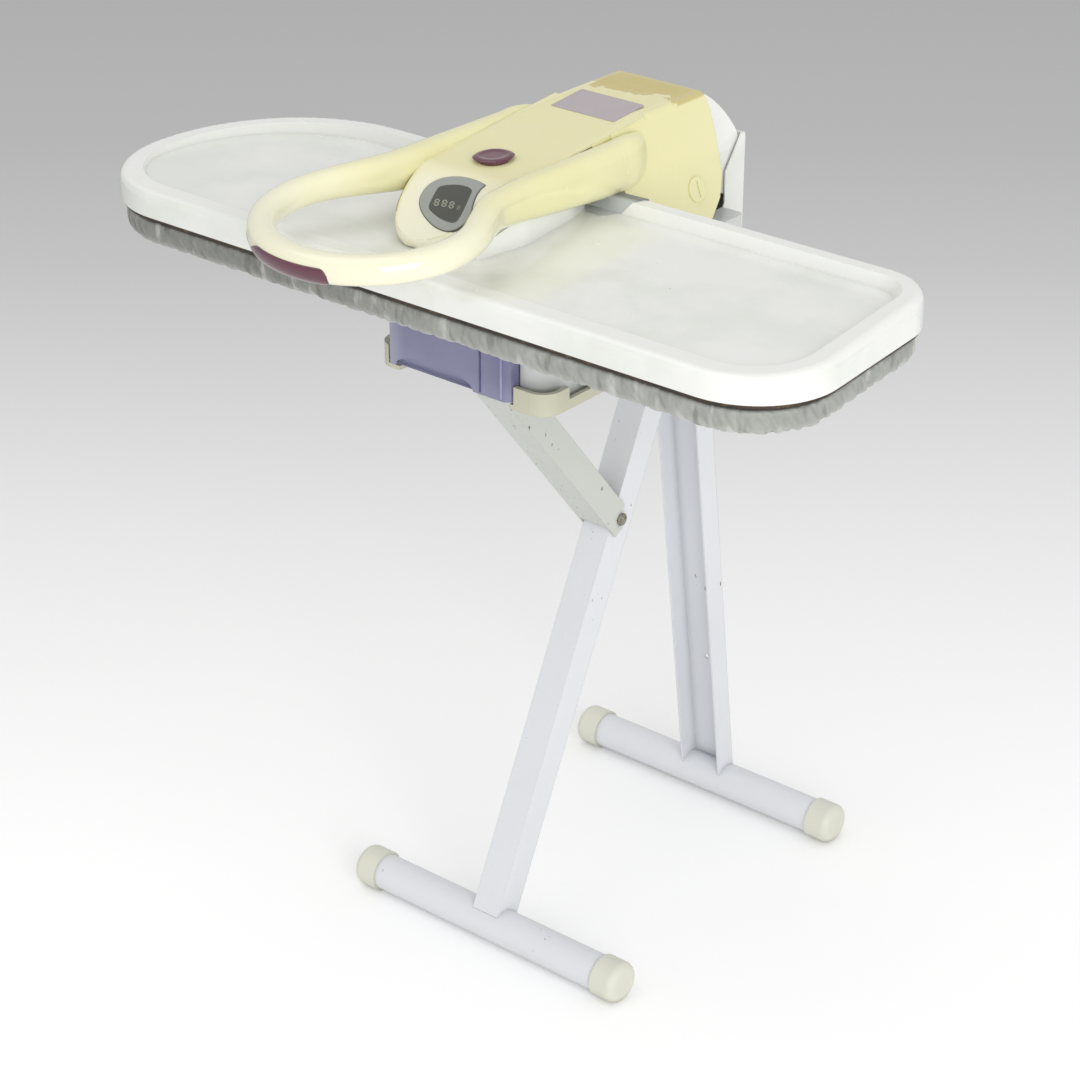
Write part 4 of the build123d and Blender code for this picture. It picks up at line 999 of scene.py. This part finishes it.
def turned_drum():
    """White quarter drum that turns with the arm inside the rear cover."""
    angles = np.radians(np.linspace(-22, 61, 40))
    # The drum's sides flare like the arm's panels, this far inside them, and reach in to this radius.
    panel_half, flare, clear, widest, inner_r = 47.0, 34.0 / 98.7, 3.3, 58.0, 44.0
    drum_r, wall, top = 81.0, 2.5, PLATE_Z + 72.9
    ring = [(drum_r, 0.0), (drum_r - wall, wall), (inner_r, wall), (inner_r, 0.0)]
    right, faces = [], []
    for a in angles:
        for radius, inside in ring:
            z = AXLE_Z + radius * sin(a)
            half = min(widest, panel_half - clear + flare * (PLATE_Z + ROOF_H - z)) - inside
            right.append((half, AXLE_Y + radius * cos(a), min(z, top)))
    for side in (1, -1):
        start = 0 if side == 1 else len(right)
        for j in range(start, start + len(right) - 4, 4):
            for i in range(4):
                k = (i + 1) % 4
                faces.append((j + i, j + k, j + 4 + k, j + 4 + i)[::side])
    points = [(ARM_X + side * x, y, z) for side in (1, -1) for x, y, z in right]
    for a in range(0, len(right) - 4, 4):
        b = len(right) + a
        faces.append((a, a + 4, b + 4, b))
        faces.append((a + 1, b + 1, b + 5, a + 5))
    drum = piece("turned_drum", (points, faces), "head", "cover_white", smooth=False)
    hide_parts("arm_rear_cover")


def rear_cover():
    """Rear cover of the base: two cheeks with slanted front edges, a back and a floor."""
    wall, half, back_t = 1.3, 60.9, 2.5
    front, rear, bottom, top = 168.0, 199.0, 597.0, 749
    inside, back_y = half - wall, rear - back_t
    cheek = [(front, bottom), (197, bottom), (rear, bottom + 2), (rear, 745), (197.5, top)]
    cheek += [(193, top), (171, 719), (171, 690), (front, 686)]
    points, faces = [], []

    def slab(ring, low, high, turn):
        start, n = len(points), len(ring)
        for x in (low, high):
            points.extend([(ARM_X + x, u, v) if turn else (ARM_X + u, v, x) for u, v in ring])
        faces.append(tuple(start + k for k in range(n)))
        faces.append(tuple(start + 2 * n - 1 - k for k in range(n)))
        for k in range(n):
            m = (k + 1) % n
            faces.append((start + k, start + n + k, start + n + m, start + m))

    slab(cheek, inside, half, True)
    slab(cheek, -half, -inside, True)
    back = [(-inside, back_y), (inside, back_y), (inside, rear), (-inside, rear)]
    slab(back, bottom, 748.0, False)
    floor = [(-inside, front), (inside, front), (inside, back_y), (-inside, back_y)]
    slab(floor, bottom, bottom + wall, False)
    cover = piece("rear_cover", (points, faces), "base", "cover_white", smooth=False)
    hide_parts("base_rear_cover")


def carve(obj, name, points, faces):
    """Cut a closed shape out of a piece and keep the result in its mesh."""
    mesh = bpy.data.meshes.new(name)
    mesh.from_pydata(points, [], faces)
    cutter = bpy.data.objects.new(name, mesh)
    bpy.context.scene.collection.objects.link(cutter)
    step = obj.modifiers.new("cut", "BOOLEAN")
    step.operation = "DIFFERENCE"
    step.solver = "EXACT"
    step.object = cutter
    depsgraph = bpy.context.evaluated_depsgraph_get()
    mesh = bpy.data.meshes.new_from_object(obj.evaluated_get(depsgraph))
    obj.modifiers.clear()
    obj.data = mesh
    bpy.data.objects.remove(cutter)


def tank():
    """Clear water tank with a low finger arch, two ridges and a level line."""
    left, right, front, back = -105, 29, -118, -48
    plan = round_corners([(left, front), (right, front), (right, back), (left, back)], 8)
    bottom, step_up, step_y = 599.0, 604.2, -88
    low = [bottom if y < step_y else step_up for _, y in plan]
    body = piece("clear_tank", prism(plan, low, 683.0), "tank", "tank_purple", smooth=False)
    arch_x, arch_half, arch_rise, under = -53, 43, 13, 590
    arch = [(arch_x + arch_half * cos(a), bottom + arch_rise * sin(a)) for a in np.linspace(0, pi, 33)]
    arch = [(arch[0][0], under)] + arch + [(arch[-1][0], under)]
    n = len(arch)
    points = [(x * MM, y * MM, z * MM) for y in (-130, -112.5) for x, z in arch]
    faces = [tuple(range(n)), tuple(2 * n - 1 - i for i in range(n))]
    faces += [(i, n + i, n + (i + 1) % n, (i + 1) % n) for i in range(n)]
    carve(body, "arch", points, faces)
    wall = body.modifiers.new("wall", "SOLIDIFY")
    wall.thickness = 0.0022
    wall.offset = -1
    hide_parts("water_tank")
    # Lit and shaded copies of the ridge colour: painted shade on one ridge, a painted highlight on the
    # other.
    dark = ridge_purple("ridge_purple_painted_shade", srgb(92, 90, 132), srgb(80, 78, 118))
    light = ridge_purple("ridge_purple_painted_highlight", srgb(168, 166, 204), srgb(150, 148, 190))
    sunk, proud = front + 0.4, front - 1.0
    for n, (x, material) in enumerate(((-2.0, dark), (20.5, light))):
        rib = [(x - 0.9, sunk), (x - 0.5, proud), (x + 0.5, proud), (x + 0.9, sunk)]
        piece("tank_ridge_%d" % n, prism(rib, 601.0, 681.0), "tank", "tank_purple", material, False)
    line = [(-82, front - 0.25), (-46, front - 0.25), (-46, front + 0.1), (-82, front + 0.1)]
    piece("level_line", prism(line, 668.6, 669.4), "tank", "cap_white", smooth=False)


cloth_cover()
felt_layer()
display()
display_digits()
handle()
console_skin()
steam_button()
arm_foot()
recess()
turned_drum()
rear_cover()
tank()


FLOOR_GLOW = 0.15
# The floor's grey by its distance from the middle along the camera's view, in metres.
FLOOR_TONES = [(-0.4, 254), (0.1, 252), (0.8, 234), (1.7, 202), (2.2, 191), (3.4, 182)]
VIEW_X, VIEW_Y = -0.63036, 0.7763
WORLD_LEVEL = 0.70
# Each lamp: its name, place, the point it faces, its two sides and its power.
LAMPS = [
    ("overhead", (-0.5, -0.6, 2.6), (0, 0, 0.7), (1.6, 1.6), 7),
    ("fill", (2.4, -1.7, 1.5), (0, 0, 0.6), (1.8, 1.8), 40),
]


def floor_material():
    """Greys that fall off with distance, with a little glow that only the camera sees."""
    material = bpy.data.materials.new("floor")
    material.use_nodes = True
    tree = material.node_tree
    join = tree.links.new
    tree.nodes.remove(tree.nodes["Principled BSDF"])

    def new(kind):
        return tree.nodes.new("ShaderNode" + kind)

    depth, level, scaled = new("VectorMath"), new("Math"), new("MapRange")
    depth.operation = "DOT_PRODUCT"
    depth.inputs[1].default_value = (VIEW_X, VIEW_Y, 0.0)
    join(new("NewGeometry").outputs["Position"], depth.inputs[0])
    nearest, farthest = FLOOR_TONES[0][0], FLOOR_TONES[-1][0]
    scaled.inputs["From Min"].default_value = nearest
    scaled.inputs["From Max"].default_value = farthest
    join(depth.outputs["Value"], scaled.inputs["Value"])
    ramp = new("ValToRGB")
    join(scaled.outputs["Result"], ramp.inputs[0])
    elements = ramp.color_ramp.elements
    while len(elements) < len(FLOOR_TONES):
        elements.new(0.5)
    for element, (at, tone) in zip(elements, FLOOR_TONES):
        element.position = (at - nearest) / (farthest - nearest)
        element.color = srgb(tone, tone, tone)
    diffuse, glow, both = new("BsdfDiffuse"), new("Emission"), new("AddShader")
    join(ramp.outputs["Color"], diffuse.inputs["Color"])
    join(ramp.outputs["Color"], glow.inputs["Color"])
    level.operation = "MULTIPLY"
    level.inputs[1].default_value = FLOOR_GLOW
    join(new("LightPath").outputs["Is Camera Ray"], level.inputs[0])
    join(level.outputs[0], glow.inputs["Strength"])
    join(diffuse.outputs[0], both.inputs[0])
    join(glow.outputs[0], both.inputs[1])
    join(both.outputs[0], tree.nodes["Material Output"].inputs["Surface"])
    return material


def studio():
    """Pale floor, soft lights, and the camera at the photograph's angle."""
    scene = bpy.context.scene
    floor_mesh = bpy.data.meshes.new("floor")
    ring = [(14 * cos(2 * pi * k / 64), 14 * sin(2 * pi * k / 64), 0) for k in range(64)]
    floor_mesh.from_pydata(ring, [], [tuple(range(64))])
    floor_mesh.materials.append(floor_material())
    floor = bpy.data.objects.new("floor", floor_mesh)
    scene.collection.objects.link(floor)

    world = bpy.data.worlds.new("world")
    scene.world = world
    world.use_nodes = True
    world.node_tree.nodes["Background"].inputs["Color"].default_value = (1.0, 1.0, 1.0, 1.0)
    world.node_tree.nodes["Background"].inputs["Strength"].default_value = WORLD_LEVEL

    for name, place_at, target, size, power in LAMPS:
        lamp = bpy.data.lights.new(name, "AREA")
        lamp.shape = "RECTANGLE"
        lamp.size, lamp.size_y = size
        lamp.energy = power
        obj = bpy.data.objects.new(name, lamp)
        scene.collection.objects.link(obj)
        obj.location = place_at
        aim = Vector(target) - Vector(place_at)
        obj.rotation_euler = aim.to_track_quat("-Z", "Y").to_euler()

    data = bpy.data.cameras.new("camera")
    data.lens = 96.27
    data.sensor_width = 36
    data.clip_end = 100
    camera = bpy.data.objects.new("camera", data)
    scene.collection.objects.link(camera)
    camera.location = (1.40323, -1.76969, 1.58239)
    camera.rotation_euler = (radians(62.716), radians(-0.204), radians(39.182))
    scene.camera = camera
    scene.view_settings.view_transform = "Standard"


studio()
